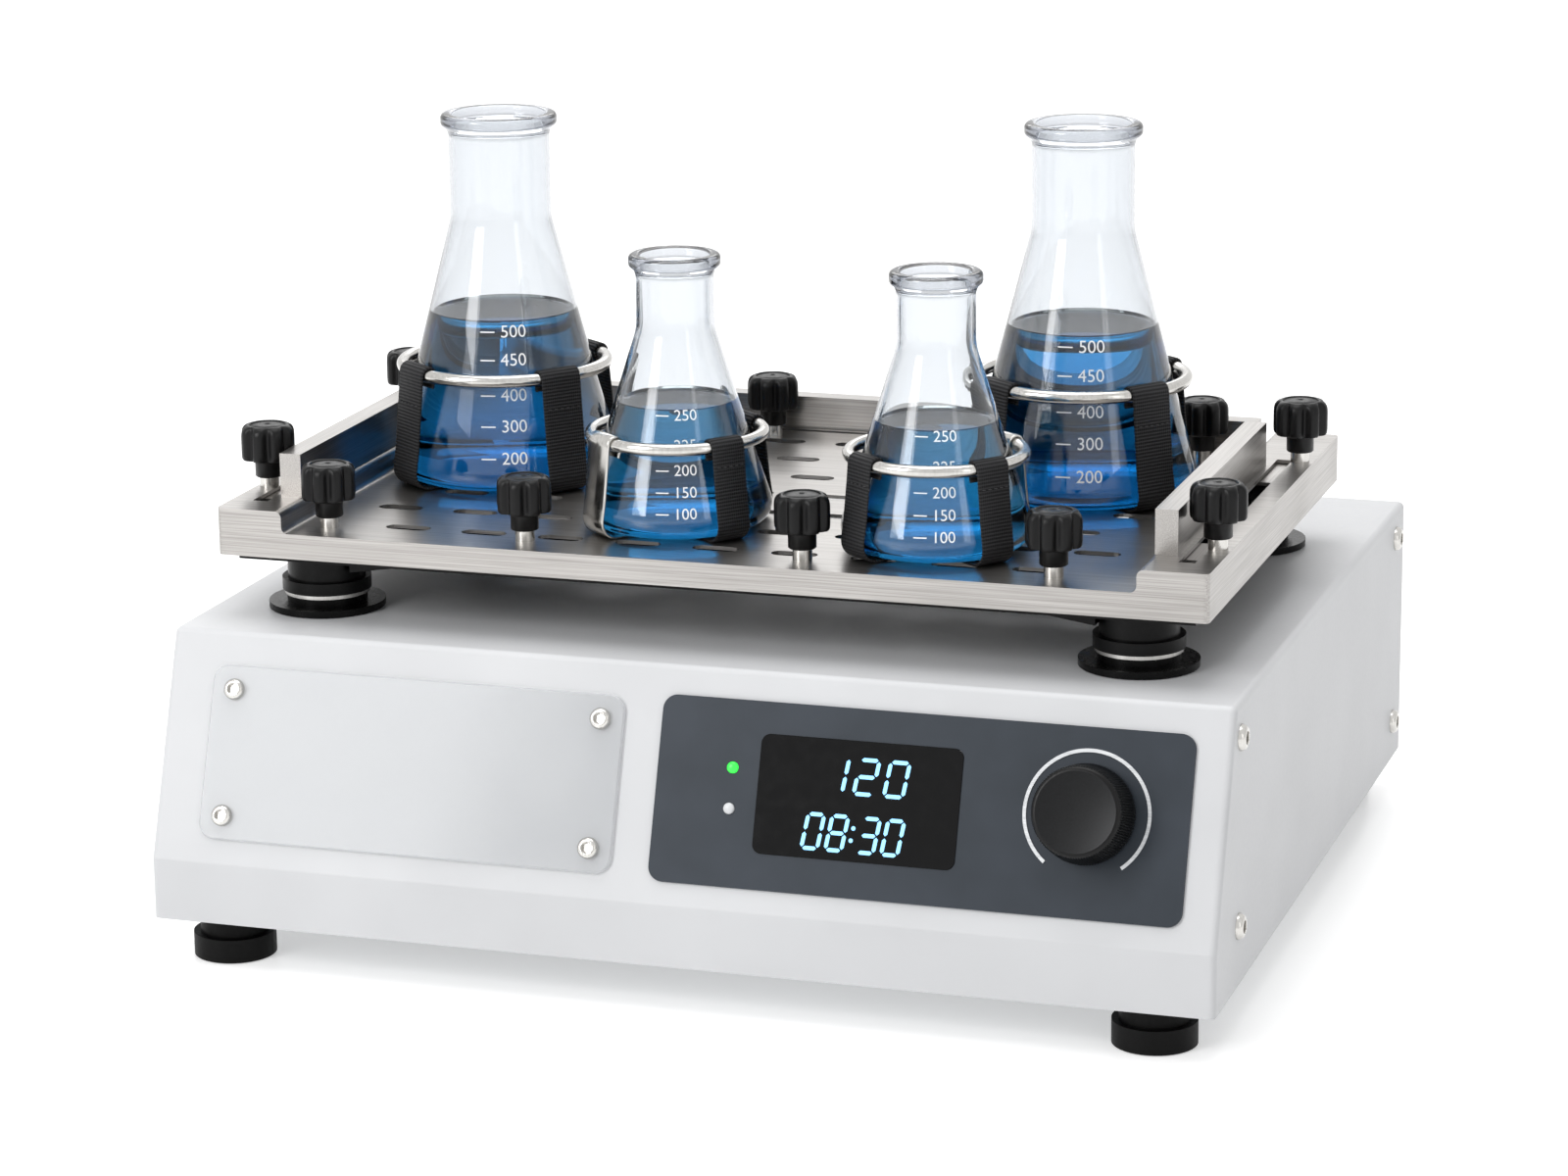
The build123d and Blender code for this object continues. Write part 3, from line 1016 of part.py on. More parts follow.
def holder_rings():
    """Wire rings round the cones, and the two steel legs."""
    rings = []
    for size, holder, x, y in FLASKS.values():
        section = Pos(holder["ring"], 0) * RegularPolygon(holder["wire"], 6)
        ring = revolve(Plane.XZ * section, axis=Axis.Z)
        rings.append(on_platform(Pos(x, y, FLASK_FLOOR + holder["height"]) * ring))
    return rings + [holder_leg(*leg) for leg in STEEL_LEGS]


nodes = {
    "housing_cover": housing_cover(),
    "chassis": chassis(),
    "rubber_feet": rubber_feet(),
    "foot_bolts": foot_bolts(),
    "side_screws": side_screws(),
    "front_plate": front_plate(),
    "plate_screws": plate_screws(),
    "control_panel": control_panel(),
    "display_window": display_window(),
    "indicator_lights": indicator_lights(),
    "dial_ring": dial_ring(),
    "control_board": control_board(),
    "encoder": encoder(),
    "encoder_shaft": encoder_shaft(),
    "control_knob": control_knob(),
    "power_entry": power_entry(),
    "power_rocker": power_rocker(),
    "power_supply": power_supply(),
    "spindle_housing": spindle_housing(),
    "ball_bearings": ball_bearings(),
    "drive_spindle": drive_spindle(),
    "spindle_pulley": spindle_pulley(),
    "counterweight": counterweight(),
    "drive_belt": drive_belt(),
    "drive_motor": drive_motor(),
    "motor_bracket": motor_bracket(),
    "motor_pulley": motor_pulley(),
    "idler_pedestals": idler_pedestals(),
    "inner_carrier": inner_carrier(),
    "hub_bearing": hub_bearing(),
    "support_posts": support_posts(),
    "seal_discs": seal_discs(),
    "post_rings": post_rings(),
    "subframe": subframe(),
    "platform_tray": platform_tray(),
    "clamp_bar_left": clamp_bar(-1),
    "clamp_bar_right": clamp_bar(1),
    "rear_bar": rear_bar(),
    "knob_studs": knob_studs(),
    "flask_liquid": flask_liquid(),
    "holder_rings": holder_rings(),
    "holder_straps": holder_straps(),
}
for corner, (x, y) in zip(("left_front", "left_rear", "right_front", "right_rear"), POSTS):
    nodes[f"idler_crank_{corner}"] = idler_crank(x, y)
for name, place in knob_places().items():
    nodes[name] = star_knob(*place)
for name, (size, holder, x, y) in FLASKS.items():
    nodes[f"flask_{name}"] = flask(size, x, y)

os.makedirs("parts", exist_ok=True)
for name, solids in nodes.items():
    shape = solids[0] if len(solids) == 1 else Compound(children=solids)
    shape.label = name
    export_step(shape, f"parts/{name}.step")
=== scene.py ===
import json
import math

import bmesh
import bpy
import numpy as np
from mathutils import Matrix, Vector


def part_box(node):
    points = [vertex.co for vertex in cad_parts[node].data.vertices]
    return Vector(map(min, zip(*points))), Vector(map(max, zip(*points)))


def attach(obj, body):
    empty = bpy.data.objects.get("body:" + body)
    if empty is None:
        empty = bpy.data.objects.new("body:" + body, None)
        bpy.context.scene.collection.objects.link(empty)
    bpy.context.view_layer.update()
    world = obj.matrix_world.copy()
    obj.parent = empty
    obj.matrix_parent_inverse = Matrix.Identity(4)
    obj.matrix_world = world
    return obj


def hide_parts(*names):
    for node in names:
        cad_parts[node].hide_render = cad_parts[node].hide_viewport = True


# Looks of the orbital shaker. Shapes are worked out in millimetres and stored in metres.
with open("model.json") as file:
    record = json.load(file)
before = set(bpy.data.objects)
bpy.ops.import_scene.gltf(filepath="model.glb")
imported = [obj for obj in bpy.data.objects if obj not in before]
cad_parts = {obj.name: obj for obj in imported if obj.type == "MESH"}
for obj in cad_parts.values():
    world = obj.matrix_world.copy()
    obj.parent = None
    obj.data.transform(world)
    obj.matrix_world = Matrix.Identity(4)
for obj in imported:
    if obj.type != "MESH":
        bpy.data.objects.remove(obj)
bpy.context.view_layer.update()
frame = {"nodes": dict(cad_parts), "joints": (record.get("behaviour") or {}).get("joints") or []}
MM = 0.001

# Camera fitted to the photograph, whose frame is 1600 by 1200
CAMERA_PLACE = (629.1, -1970.6, 671.9)
CAMERA_YAW = 18.014
CAMERA_PITCH = 14.553
CAMERA_ROLL = -0.646
CAMERA_LENS = 106.11
SENSOR_WIDTH = 36.0

# Places on the housing that the frame's boxes don't give
CREASE_HEIGHT = 46.5
PLATE_CENTRE = (-121.6, 49.5)
PLATE_SIZE = (193.0, 77.3)
PLATE_CORNER = 7.5
PLATE_THICKNESS = 2.0
PLATE_SCREW_INSET = 10.8
PLATE_SCREW_RADIUS = 4.8
SIDE_SCREW_RADIUS = 5.8
SIDE_SCREW_PLACES = [(-164.0, 46.0), (-164.0, 128.5), (184.0, 38.0), (184.0, 130.0)]
LIGHT_X = 25.3
LIGHT_HEIGHTS = {"speed": 61.2, "time": 43.7}
DIAL_CENTRE = (181.0, 53.8)
DIAL_FOOT = 2.8
DISPLAY_FACE = 1.6

# Flasks: base radius, neck radius, rim radius, bend height, liquid level and numbers by height
BIG = {"base": 52.5, "neck": 23.2, "rim": 26.7, "bend": 120.0, "level": 76.0, "type": 5.6,
       "marks": {500: 72.5, 450: 60.0, 400: 44.4, 300: 30.7, 200: 16.5}}
SMALL = {"base": 42.5, "neck": 17.3, "rim": 20.4, "bend": 88.0, "level": 55.0, "type": 4.8,
         "marks": {250: 54.0, 225: 41.5, 200: 31.0, 150: 21.8, 100: 12.8}}
GLASS_WALL = 1.8
HEEL = 8.0
RIM_DEPTH = 5.0

# Holders: ring radius, ring height over the glass, wire radius and width of the legs
BIG_HOLDER = {"ring": 47.0, "height": 52.0, "wire": 3.0, "width": 20.5}
SMALL_HOLDER = {"ring": 38.0, "height": 41.0, "wire": 2.8, "width": 16.5}
STRAP_THICKNESS = 1.3
RIB_PITCH = 1.5
THREAD_PITCH = 1.1
LEG_STEP = 1.2
DECK_DROP = 1.2
STITCH_PITCH = 3.0
LEG_START = -38.0
STEEL_LEGS = {("small_left", 3), ("small_right", 1)}
FLASKS = {"big_left": (BIG, BIG_HOLDER), "big_right": (BIG, BIG_HOLDER),
          "small_left": (SMALL, SMALL_HOLDER), "small_right": (SMALL, SMALL_HOLDER)}

push_axis = [joint for joint in frame["joints"] if joint["name"] == "dial_push"][0]["axis"]
OUT = np.array(push_axis)
UP = np.array((0.0, OUT[2], -OUT[1]))


def node_box(name):
    """Lowest and highest corner of a CAD node, in mm."""
    low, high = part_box(name)
    return np.array(low) / MM, np.array(high) / MM


FRONT_Y = node_box("housing_cover")[0][1]


def on_slope(points):
    """(across, up, out) points of the sloping front as (x, y, z) points of the frame."""
    points = np.asarray(points, float)
    origin = np.array((0.0, FRONT_Y, CREASE_HEIGHT))
    across = points[..., :1] * np.array((1.0, 0.0, 0.0))
    return origin + across + points[..., 1:2] * UP + points[..., 2:3] * OUT


# Shapes


def rounded_path(corners, steps=8):
    """Points along straight sides whose (x, y, radius) corners are arcs. An arc starts at radius / tan(half
    the inner angle) from its corner. Its centre lies on the bisector, at radius / sin(half that angle)."""
    spots = np.array([corner[:2] for corner in corners], float)
    points = [spots[:1]]
    for number in range(1, len(corners) - 1):
        spot, radius = spots[number], corners[number][2]
        back = (spots[number - 1] - spot) / np.linalg.norm(spots[number - 1] - spot)
        ahead = (spots[number + 1] - spot) / np.linalg.norm(spots[number + 1] - spot)
        half = math.acos(float(np.clip(back @ ahead, -1, 1))) / 2
        middle = (back + ahead) / np.linalg.norm(back + ahead)
        centre = spot + middle * radius / math.sin(half)
        arm = spot + back * radius / math.tan(half) - centre
        side = np.array((-arm[1], arm[0]))
        side *= np.sign(side @ (spot + ahead * radius / math.tan(half) - centre))
        turn = np.linspace(0, math.pi - 2 * half, steps + 1)[:, None]
        points.append(centre + np.cos(turn) * arm + np.sin(turn) * side)
    points.append(spots[-1:])
    return np.concatenate(points)


def turned(profile, centre=(0, 0, 0), sides=96):
    """Surface of revolution: each (radius, height) of the profile goes round the upright axis at centre."""
    angle = np.linspace(0, 2 * np.pi, sides, endpoint=False)
    radius, height = profile[:, :1], profile[:, 1:2]
    points = np.stack([radius * np.cos(angle), radius * np.sin(angle), height + 0 * angle], axis=-1)
    return points + np.asarray(centre, float)


def rounded_rectangle(width, height, corner, steps=8):
    """Closed outline of a rectangle whose corners are quarter circles, anticlockwise."""
    angle = np.linspace(0, np.pi / 2, steps + 1)
    quarters = []
    for number, (sx, sy) in enumerate(((1, 1), (-1, 1), (-1, -1), (1, -1))):
        turn = angle + number * np.pi / 2
        centre = (sx * (width / 2 - corner), sy * (height / 2 - corner))
        spots = [centre[0] + corner * np.cos(turn), centre[1] + corner * np.sin(turn)]
        quarters.append(np.stack(spots, axis=-1))
    return np.concatenate(quarters)


def plate(width, height, corner, rows):
    """Plate as a stack of rounded rectangles, one for each (inset, level) row, closed by its two middles."""
    points = []
    for inset, level in rows:
        outline = rounded_rectangle(width - 2 * inset, height - 2 * inset, corner - inset)
        points.append(np.column_stack([outline, np.full(len(outline), level)]))
    middles = [row * np.array((0, 0, 1)) for row in (points[0], points[-1])]
    return np.stack([middles[0]] + points + [middles[1]])


def rounded_band(width, thickness, steps=3):
    """Section of a strap or strip: a flat band whose two edges are half round."""
    angle = np.linspace(-np.pi / 2, np.pi / 2, steps + 2)
    straight = (width - thickness) / 2
    edge = np.stack([straight + thickness / 2 * np.cos(angle), thickness / 2 * np.sin(angle)], axis=-1)
    return np.concatenate([edge, -edge])


def piece(name, points, finish, body, around=True, along=False, sharp=35, replaces=(), uv=None):
    """Mesh of a grid of points (rows, columns, XYZ), joined round its columns and, if asked, along its rows.
    Points that meet at a seam or a pole are merged, and faces are turned outwards."""
    rows, columns = points.shape[:2]
    index = np.arange(rows * columns).reshape(rows, columns)
    if around:
        index = np.concatenate([index, index[:, :1]], axis=1)
    if along:
        index = np.concatenate([index, index[:1]], axis=0)
    quads = np.stack([index[:-1, :-1], index[:-1, 1:], index[1:, 1:], index[1:, :-1]], axis=-1).reshape(-1, 4)
    mesh = bpy.data.meshes.new(name)
    mesh.from_pydata((points.reshape(-1, 3) * MM).tolist(), [], quads.tolist())
    if uv is not None:
        layer = mesh.uv_layers.new(name="cloth")
        layer.data.foreach_set("uv", uv.reshape(-1, 2)[quads.ravel()].ravel())
    made = bmesh.new()
    made.from_mesh(mesh)
    bmesh.ops.remove_doubles(made, verts=made.verts, dist=1e-7)
    bmesh.ops.recalc_face_normals(made, faces=made.faces)
    made.to_mesh(mesh)
    made.free()
    return shown(name, mesh, finish, body, sharp, replaces)


def shown(name, mesh, finish, body, sharp=35, replaces=()):
    """Object of a mesh that already lies in place, with its finish and body."""
    mesh.materials.append(finish)
    mesh.shade_smooth()
    mesh.set_sharp_from_angle(angle=math.radians(sharp))
    made = bpy.data.objects.new(name, mesh)
    bpy.context.scene.collection.objects.link(made)
    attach(made, body)
    if replaces:
        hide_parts(*replaces)
    return made


# Finishes


def linear(code):
    """sRGB hex colour as linear red, green, blue and alpha."""
    parts = [int(code[place:place + 2], 16) / 255 for place in (1, 3, 5)]
    return [part / 12.92 if part <= 0.04045 else ((part + 0.055) / 1.055) ** 2.4 for part in parts] + [1.0]


def add(tree, kind, inputs=None, **settings):
    """Adds a node. Settings are its properties. Inputs are its sockets, by name or number, each with a value
    or with the socket that is linked to it."""
    node = tree.nodes.new(kind)
    for name, value in settings.items():
        setattr(node, name, value)
    for name, value in (inputs or {}).items():
        if isinstance(value, bpy.types.NodeSocket):
            tree.links.new(value, node.inputs[name])
        else:
            node.inputs[name].default_value = value
    return node


def started(name):
    """New material with an empty node tree."""
    made = bpy.data.materials.new(name)
    made.use_nodes = True
    made.node_tree.nodes.clear()
    return made, made.node_tree


def grain(tree, size, stretch=(1, 1, 1), detail=4.0, coordinates="Object"):
    """Noise whose grains are size mm across, drawn out along each axis by stretch."""
    where = add(tree, "ShaderNodeTexCoord")
    scale = [1 / (size * MM * draw) for draw in stretch]
    mapped = add(tree, "ShaderNodeMapping", {"Vector": where.outputs[coordinates], "Scale": scale})
    noise = add(tree, "ShaderNodeTexNoise", {"Vector": mapped.outputs[0], "Scale": 1.0, "Detail": detail})
    return noise.outputs["Fac"]


def ranged(tree, value, low, high, start=0.3, end=0.7):
    """value from start to end becomes low to high."""
    inputs = {"Value": value, "From Min": start, "From Max": end, "To Min": low, "To Max": high}
    return add(tree, "ShaderNodeMapRange", inputs).outputs[0]


def tinted(tree, value, dark, light):
    """Colour between two hex colours by value."""
    made = add(tree, "ShaderNodeMix", {"Factor": value}, data_type="RGBA")
    for name, code in (("A", dark), ("B", light)):
        ends = [socket for socket in made.inputs if socket.name == name and socket.type == "RGBA"]
        ends[0].default_value = linear(code)
    return [socket for socket in made.outputs if socket.type == "RGBA"][0]


def bumped(tree, value, depth, strength=1.0):
    """Surface direction of a relief depth mm deep."""
    inputs = {"Height": value, "Distance": depth * MM, "Strength": strength}
    return add(tree, "ShaderNodeBump", inputs).outputs[0]


def finished(tree, **inputs):
    """Principled surface on the output; a socket's name has underscores for spaces."""
    values = {name.replace("_", " "): value for name, value in inputs.items()}
    surface = add(tree, "ShaderNodeBsdfPrincipled", values)
    return add(tree, "ShaderNodeOutputMaterial", {"Surface": surface.outputs[0]})


def moulded(name, dark, light, roughness, size=1.2, depth=0.02, **more):
    """Coating or moulding with a fine even grain: small changes of colour and gloss, and a shallow relief."""
    made, tree = started(name)
    fine = grain(tree, size)
    broad = grain(tree, size * 30, detail=2.0)
    finished(tree, Base_Color=tinted(tree, ranged(tree, broad, 0, 1), dark, light),
             Roughness=ranged(tree, fine, roughness - 0.05, roughness + 0.05),
             Normal=bumped(tree, fine, depth), **more)
    return made


def rubbed_steel(name, dark, light, roughness, along, depth=0.012):
    """Stainless steel rubbed with a belt: hair lines 0.5 mm apart and long as the stroke, along X, Y or both.
    With both, faces that look along X carry lines along Y, as a folded sheet's side skirts do."""
    made, tree = started(name)
    lines = {"X": grain(tree, 0.5, (120, 1, 1), 3.0), "Y": grain(tree, 0.5, (1, 120, 1), 3.0)}
    if along == "both":
        facing = add(tree, "ShaderNodeTexCoord").outputs["Normal"]
        parts = add(tree, "ShaderNodeSeparateXYZ", {0: facing})
        size = add(tree, "ShaderNodeMath", {0: parts.outputs[0]}, operation="ABSOLUTE")
        side = ranged(tree, size.outputs[0], 0, 1, 0.6, 0.7)
        inputs = {"Factor": side, 2: lines["X"], 3: lines["Y"]}
        value = add(tree, "ShaderNodeMix", inputs, data_type="FLOAT").outputs[0]
    else:
        value = lines[along]
    cloudy = grain(tree, 60, detail=2.0)
    finished(tree, Base_Color=tinted(tree, ranged(tree, value, 0, 1), dark, light), Metallic=1.0,
             Roughness=ranged(tree, cloudy, roughness - 0.04, roughness + 0.04),
             Normal=bumped(tree, value, depth))
    return made


def polished_steel(name, colour, roughness):
    """Turned and polished steel: nearly even, with faint rings of the tool."""
    made, tree = started(name)
    fine = grain(tree, 0.8, (1, 1, 6), 2.0)
    finished(tree, Base_Color=tinted(tree, fine, colour, "#D9D7D3"), Metallic=1.0,
             Roughness=ranged(tree, fine, roughness, roughness + 0.06), Normal=bumped(tree, fine, 0.003))
    return made


def clear_glass():
    """Borosilicate glass, blown in a mould: smooth, with a faint unevenness of the wall. It takes away a
    little light for each millimetre, so the rim and the sides, where the eye looks along the wall, are
    darker."""
    made, tree = started("borosilicate_glass")
    wavy = grain(tree, 18, (1, 1, 3), 1.0)
    out = finished(tree, Base_Color=linear("#F9FBFC"), Roughness=0.0, IOR=1.47, Transmission_Weight=1.0,
                   Normal=bumped(tree, wavy, 0.05, 0.5))
    inside = add(tree, "ShaderNodeVolumeAbsorption", {"Color": linear("#B9BCC4"), "Density": 150.0})
    tree.links.new(inside.outputs[0], out.inputs["Volume"])
    return made


def blue_water():
    """Water with a blue dye: the depth of the filling sets how dark it is."""
    made, tree = started("dyed_water")
    ripple = grain(tree, 25, detail=1.0)
    out = finished(tree, Base_Color=linear("#F2FAFE"), Roughness=0.0, IOR=1.33, Transmission_Weight=1.0,
                   Normal=bumped(tree, ripple, 0.02, 0.3))
    inside = add(tree, "ShaderNodeVolumeAbsorption", {"Color": linear("#26D6F0"), "Density": 55.0})
    tree.links.new(inside.outputs[0], out.inputs["Volume"])
    return made


def clear_acrylic():
    """Cast acrylic sheet with polished bevels over the grey coat."""
    made, tree = started("cast_acrylic")
    faint = grain(tree, 40, detail=1.0)
    finished(tree, Base_Color=tinted(tree, faint, "#D3D5D8", "#DADCDE"), IOR=1.49, Alpha=0.45,
             Roughness=ranged(tree, faint, 0.08, 0.14))
    return made


def webbing():
    """Woven polypropylene webbing: ribs across the strap, crossed by finer threads. The real ribs are 1.1 mm
    apart, and these 1.5 mm, so that they still show."""
    made, tree = started("woven_webbing")
    where = add(tree, "ShaderNodeTexCoord").outputs["UV"]
    waves = []
    for direction, pitch in (("Y", RIB_PITCH), ("X", THREAD_PITCH)):
        inputs = {"Vector": where, "Scale": math.pi / 10 / (pitch * MM), "Distortion": 0.4}
        wave = add(tree, "ShaderNodeTexWave", inputs, bands_direction=direction, wave_profile="SIN")
        waves.append(wave.outputs["Fac"])
    thin = add(tree, "ShaderNodeMath", {0: waves[1], 1: 0.35}, operation="MULTIPLY").outputs[0]
    weave = add(tree, "ShaderNodeMath", {0: waves[0], 1: thin}, operation="ADD").outputs[0]
    finished(tree, Base_Color=tinted(tree, ranged(tree, weave, 0, 1, 0, 1.35), "#08080A", "#2B2B2D"),
             Roughness=ranged(tree, weave, 0.8, 0.55, 0, 1.35), Normal=bumped(tree, weave, 0.22),
             Specular_IOR_Level=0.3)
    return made


def glowing(name, colour, strength, core="#000000"):
    """Lit segment or lamp behind a clear cap."""
    made, tree = started(name)
    even = grain(tree, 3, detail=1.0)
    finished(tree, Base_Color=tinted(tree, even, core, core), Roughness=0.3, Emission_Color=linear(colour),
             Emission_Strength=strength)
    return made


def spun_black():
    """Black anodised face, turned on a lathe; its fine rings are drawn only as a fine even grain of colour,
    gloss and relief.
    """
    made, tree = started("spun_black_face")
    fine = grain(tree, 0.7)
    finished(tree, Base_Color=tinted(tree, fine, "#0C0C0D", "#17181A"), Metallic=0.6,
             Roughness=ranged(tree, fine, 0.28, 0.36), Normal=bumped(tree, fine, 0.004))
    return made


powder_coat = moulded("powder_coat", "#CDCED0", "#D3D4D6", 0.42, 2.2, 0.02, Specular_IOR_Level=0.3)
panel_film = moulded("slate_film", "#2E343B", "#353B43", 0.42, 0.9, 0.006, Specular_IOR_Level=0.25)
black_gloss = moulded("black_display_glass", "#030304", "#050506", 0.12, 6.0, 0.001, Specular_IOR_Level=0.2)
black_plastic = moulded("black_nylon", "#060607", "#0C0C0D", 0.36, 1.5, 0.02, Specular_IOR_Level=0.22)
black_rubber = moulded("black_rubber", "#030303", "#070707", 0.5, 1.8, 0.03, Specular_IOR_Level=0.12)
black_paint = moulded("black_enamel_paint", "#040404", "#080809", 0.35, 2.5, 0.02, Specular_IOR_Level=0.15)
seal_black = moulded("black_acetal", "#030303", "#060606", 0.3, 2.0, 0.01, Specular_IOR_Level=0.15)
tray_steel = rubbed_steel("rubbed_stainless_sheet", "#95928F", "#B7B4B1", 0.34, "both")
bar_steel = rubbed_steel("rubbed_stainless_bar", "#95928F", "#B7B4B1", 0.3, "Y")
cross_steel = rubbed_steel("rubbed_stainless_cross_bar", "#95928F", "#B7B4B1", 0.3, "X")
bright_steel = polished_steel("polished_stainless", "#AFADA9", 0.16)
stud_steel = polished_steel("ground_steel", "#C0BEBA", 0.2)
screw_steel = polished_steel("nickel_plated_steel", "#B9B7B3", 0.18)
silver_print = rubbed_steel("brushed_aluminium", "#B7B9BC", "#D2D4D6", 0.3, "X")
acrylic = clear_acrylic()
glass = clear_glass()
water = blue_water()
strap_cloth = webbing()
thread = moulded("waxed_thread", "#1E1E20", "#303033", 0.6, 0.5, 0.02)
enamel_print = moulded("white_enamel_print", "#F2F4F5", "#FFFFFF", 0.4, 1.0, 0.002)
digit_glow = glowing("lit_digit", "#86CBFF", 2.2)
green_glow = glowing("green_lamp", "#35F04A", 1.6, "#0B5A14")
white_lens = moulded("white_lens", "#B9BBBD", "#D5D7D9", 0.3, 1.0, 0.004)
spun_face = spun_black()
zinc_sheet = moulded("zinc_plated_sheet", "#8F9396", "#A9ADB0", 0.38, 14.0, 0.01, Metallic=1.0)
turned_steel = polished_steel("turned_steel", "#A9A8A6", 0.28)
cast_iron = moulded("cast_iron", "#3B3C3E", "#4B4C4E", 0.6, 3.0, 0.12, Metallic=0.6)
cast_aluminium = moulded("cast_aluminium", "#8C8F93", "#A1A4A8", 0.42, 2.5, 0.06, Metallic=1.0)
board_green = moulded("solder_mask", "#0E3B22", "#14512E", 0.35, 4.0, 0.01)

cad_finishes = {
    powder_coat: ["housing_cover"],
    zinc_sheet: ["chassis", "motor_bracket", "power_supply"],
    black_rubber: ["rubber_feet", "drive_belt"],
    screw_steel: ["foot_bolts", "side_screws", "plate_screws"],
    acrylic: ["front_plate"],
    panel_film: ["control_panel"],
    black_gloss: ["display_window"],
    white_lens: ["indicator_lights"],
    silver_print: ["dial_ring"],
    board_green: ["control_board"],
    black_plastic: ["encoder", "control_knob", "power_entry", "power_rocker"],
    black_paint: ["drive_motor", "support_posts", "subframe"],
    turned_steel: ["encoder_shaft", "ball_bearings", "drive_spindle", "motor_pulley", "hub_bearing"],
    stud_steel: ["knob_studs", "post_rings"],
    cast_iron: ["spindle_housing", "counterweight", "idler_pedestals"],
    cast_aluminium: ["spindle_pulley", "inner_carrier"],
    seal_black: ["seal_discs"],
    tray_steel: ["platform_tray"],
    bar_steel: ["clamp_bar_left", "clamp_bar_right"],
    cross_steel: ["rear_bar"],
    bright_steel: ["holder_rings"],
    strap_cloth: ["holder_straps"],
    glass: [f"flask_{name}" for name in FLASKS],
    water: ["flask_liquid"],
}
for name, node in frame["nodes"].items():
    found = [finish for finish, names in cad_finishes.items() if name in names]
    if name.startswith("star_knob"):
        found = [black_plastic]
    if name.startswith("idler_crank"):
        found = [turned_steel]
    node.data.materials.clear()
    node.data.materials.append(found[0])


# Flasks and their filling


def cone_radius(size, height):
    """Outer radius of the flask's cone at a height above its base."""
    share = (height - HEEL) / (size["bend"] - HEEL)
    return size["base"] + share * (size["neck"] - size["base"])


def flask_outline(size, top):
    """Half section of the glass: heel, cone, shoulder, neck and rolled rim, and back inside the wall."""
    neck, rim, bend = size["neck"], size["rim"], size["bend"]
    foot, inner = cone_radius(size, 0), GLASS_WALL * 1.03
    corners = [(0, 0.2, 0), (foot, 0, 9), (neck, bend, 28), (neck, top - 8, 6), (rim, top - RIM_DEPTH, 2)]
    corners += [(rim, top, 2.2), (neck - inner, top, 1.6), (neck - inner, bend, 26)]
    corners += [(foot - inner, GLASS_WALL, 7.5), (0, GLASS_WALL + 0.4, 0)]
    return rounded_path(corners, 10)


def liquid_outline(size):
    """Half section of the filling: it wets the glass, and its surface climbs a little at the wall."""
    level = size["level"]
    wall = GLASS_WALL * 0.9
    rise = cone_radius(size, level + 1.4) - wall
    corners = [(0, GLASS_WALL, 0), (cone_radius(size, 0) - wall, GLASS_WALL, 7.4), (rise, level + 1.4, 0.2)]
    corners += [(cone_radius(size, level) - wall - 2.2, level, 2.4), (0, level, 0)]
    return rounded_path(corners, 8)


def letter_mesh(text, height):
    """Flat mesh of a line of type of a given digit height in mm. It starts at the origin, and the middle of
    its height is at 0."""
    curve = bpy.data.curves.new("type", "FONT")
    curve.body = text
    curve.size = height / 0.7
    curve.align_x, curve.align_y = "LEFT", "CENTER"
    source = bpy.data.objects.new("type", curve)
    bpy.context.scene.collection.objects.link(source)
    bpy.context.view_layer.update()
    mesh = bpy.data.meshes.new_from_object(source.evaluated_get(bpy.context.evaluated_depsgraph_get()))
    bpy.data.objects.remove(source)
    bpy.data.curves.remove(curve)
    return mesh


def on_cone(size, centre, facing, height, flat):
    """(across, up) points wrapped on the cone: across is an arc length there, and up runs along the glass."""
    lean = math.atan2(size["base"] - size["neck"], size["bend"] - HEEL)
    level = height + flat[:, 1] * math.cos(lean)
    radius = cone_radius(size, level) + 0.06
    angle = facing + flat[:, 0] / cone_radius(size, height)
    around = [centre[0] + radius * np.cos(angle), centre[1] + radius * np.sin(angle), centre[2] + level]
    return np.stack(around, -1)


def graduation(name, size, centre, facing, number, height):
    """A short stroke and its number, printed on the cone."""
    type_height = size["type"]
    stroke = np.stack(np.meshgrid(np.linspace(-1.65, -0.45, 12), (-0.055, 0.055)), -1) * type_height
    wrapped = on_cone(size, centre, facing, height, stroke.reshape(-1, 2)).reshape(2, 12, 3)
    line = piece(f"{name}_stroke", wrapped, enamel_print, "platform", around=False)
    mesh = letter_mesh(str(number), type_height)
    flat = np.array([vertex.co[:2] for vertex in mesh.vertices])
    wrapped = on_cone(size, centre, facing, height, flat) * MM
    mesh.vertices.foreach_set("co", wrapped.ravel())
    mesh.update()
    mesh.materials.clear()
    return [line, shown(f"{name}_number", mesh, enamel_print, "platform")]


camera_spot = np.array(CAMERA_PLACE)
for name, (size, holder) in FLASKS.items():
    low, high = node_box(f"flask_{name}")
    centre = np.array([(low[0] + high[0]) / 2, (low[1] + high[1]) / 2, low[2]])
    outline = flask_outline(size, high[2] - low[2])
    piece(f"glass_{name}", turned(outline, centre, 128), glass, "platform", replaces=[f"flask_{name}"],
          sharp=60)
    piece(f"liquid_{name}", turned(liquid_outline(size), centre, 128), water, "platform",
          replaces=["flask_liquid"], sharp=60)
    towards = camera_spot - centre
    facing = math.atan2(towards[1], towards[0]) - math.radians(3)
    for number, height in size["marks"].items():
        graduation(f"mark_{name}_{number}", size, centre, facing, number, height)


# Flask holders


def holder_ring(name, centre, holder):
    """Ring of round wire: a small circle carried round a large one."""
    turn = np.linspace(0, 2 * np.pi, 24, endpoint=False)
    section = np.stack([holder["ring"] + holder["wire"] * np.cos(turn), holder["wire"] * np.sin(turn)], -1)
    place = centre + np.array((0, 0, holder["height"]))
    return piece(f"ring_{name}", turned(section, place, 120), bright_steel, "platform", along=True,
                 replaces=["holder_rings"])


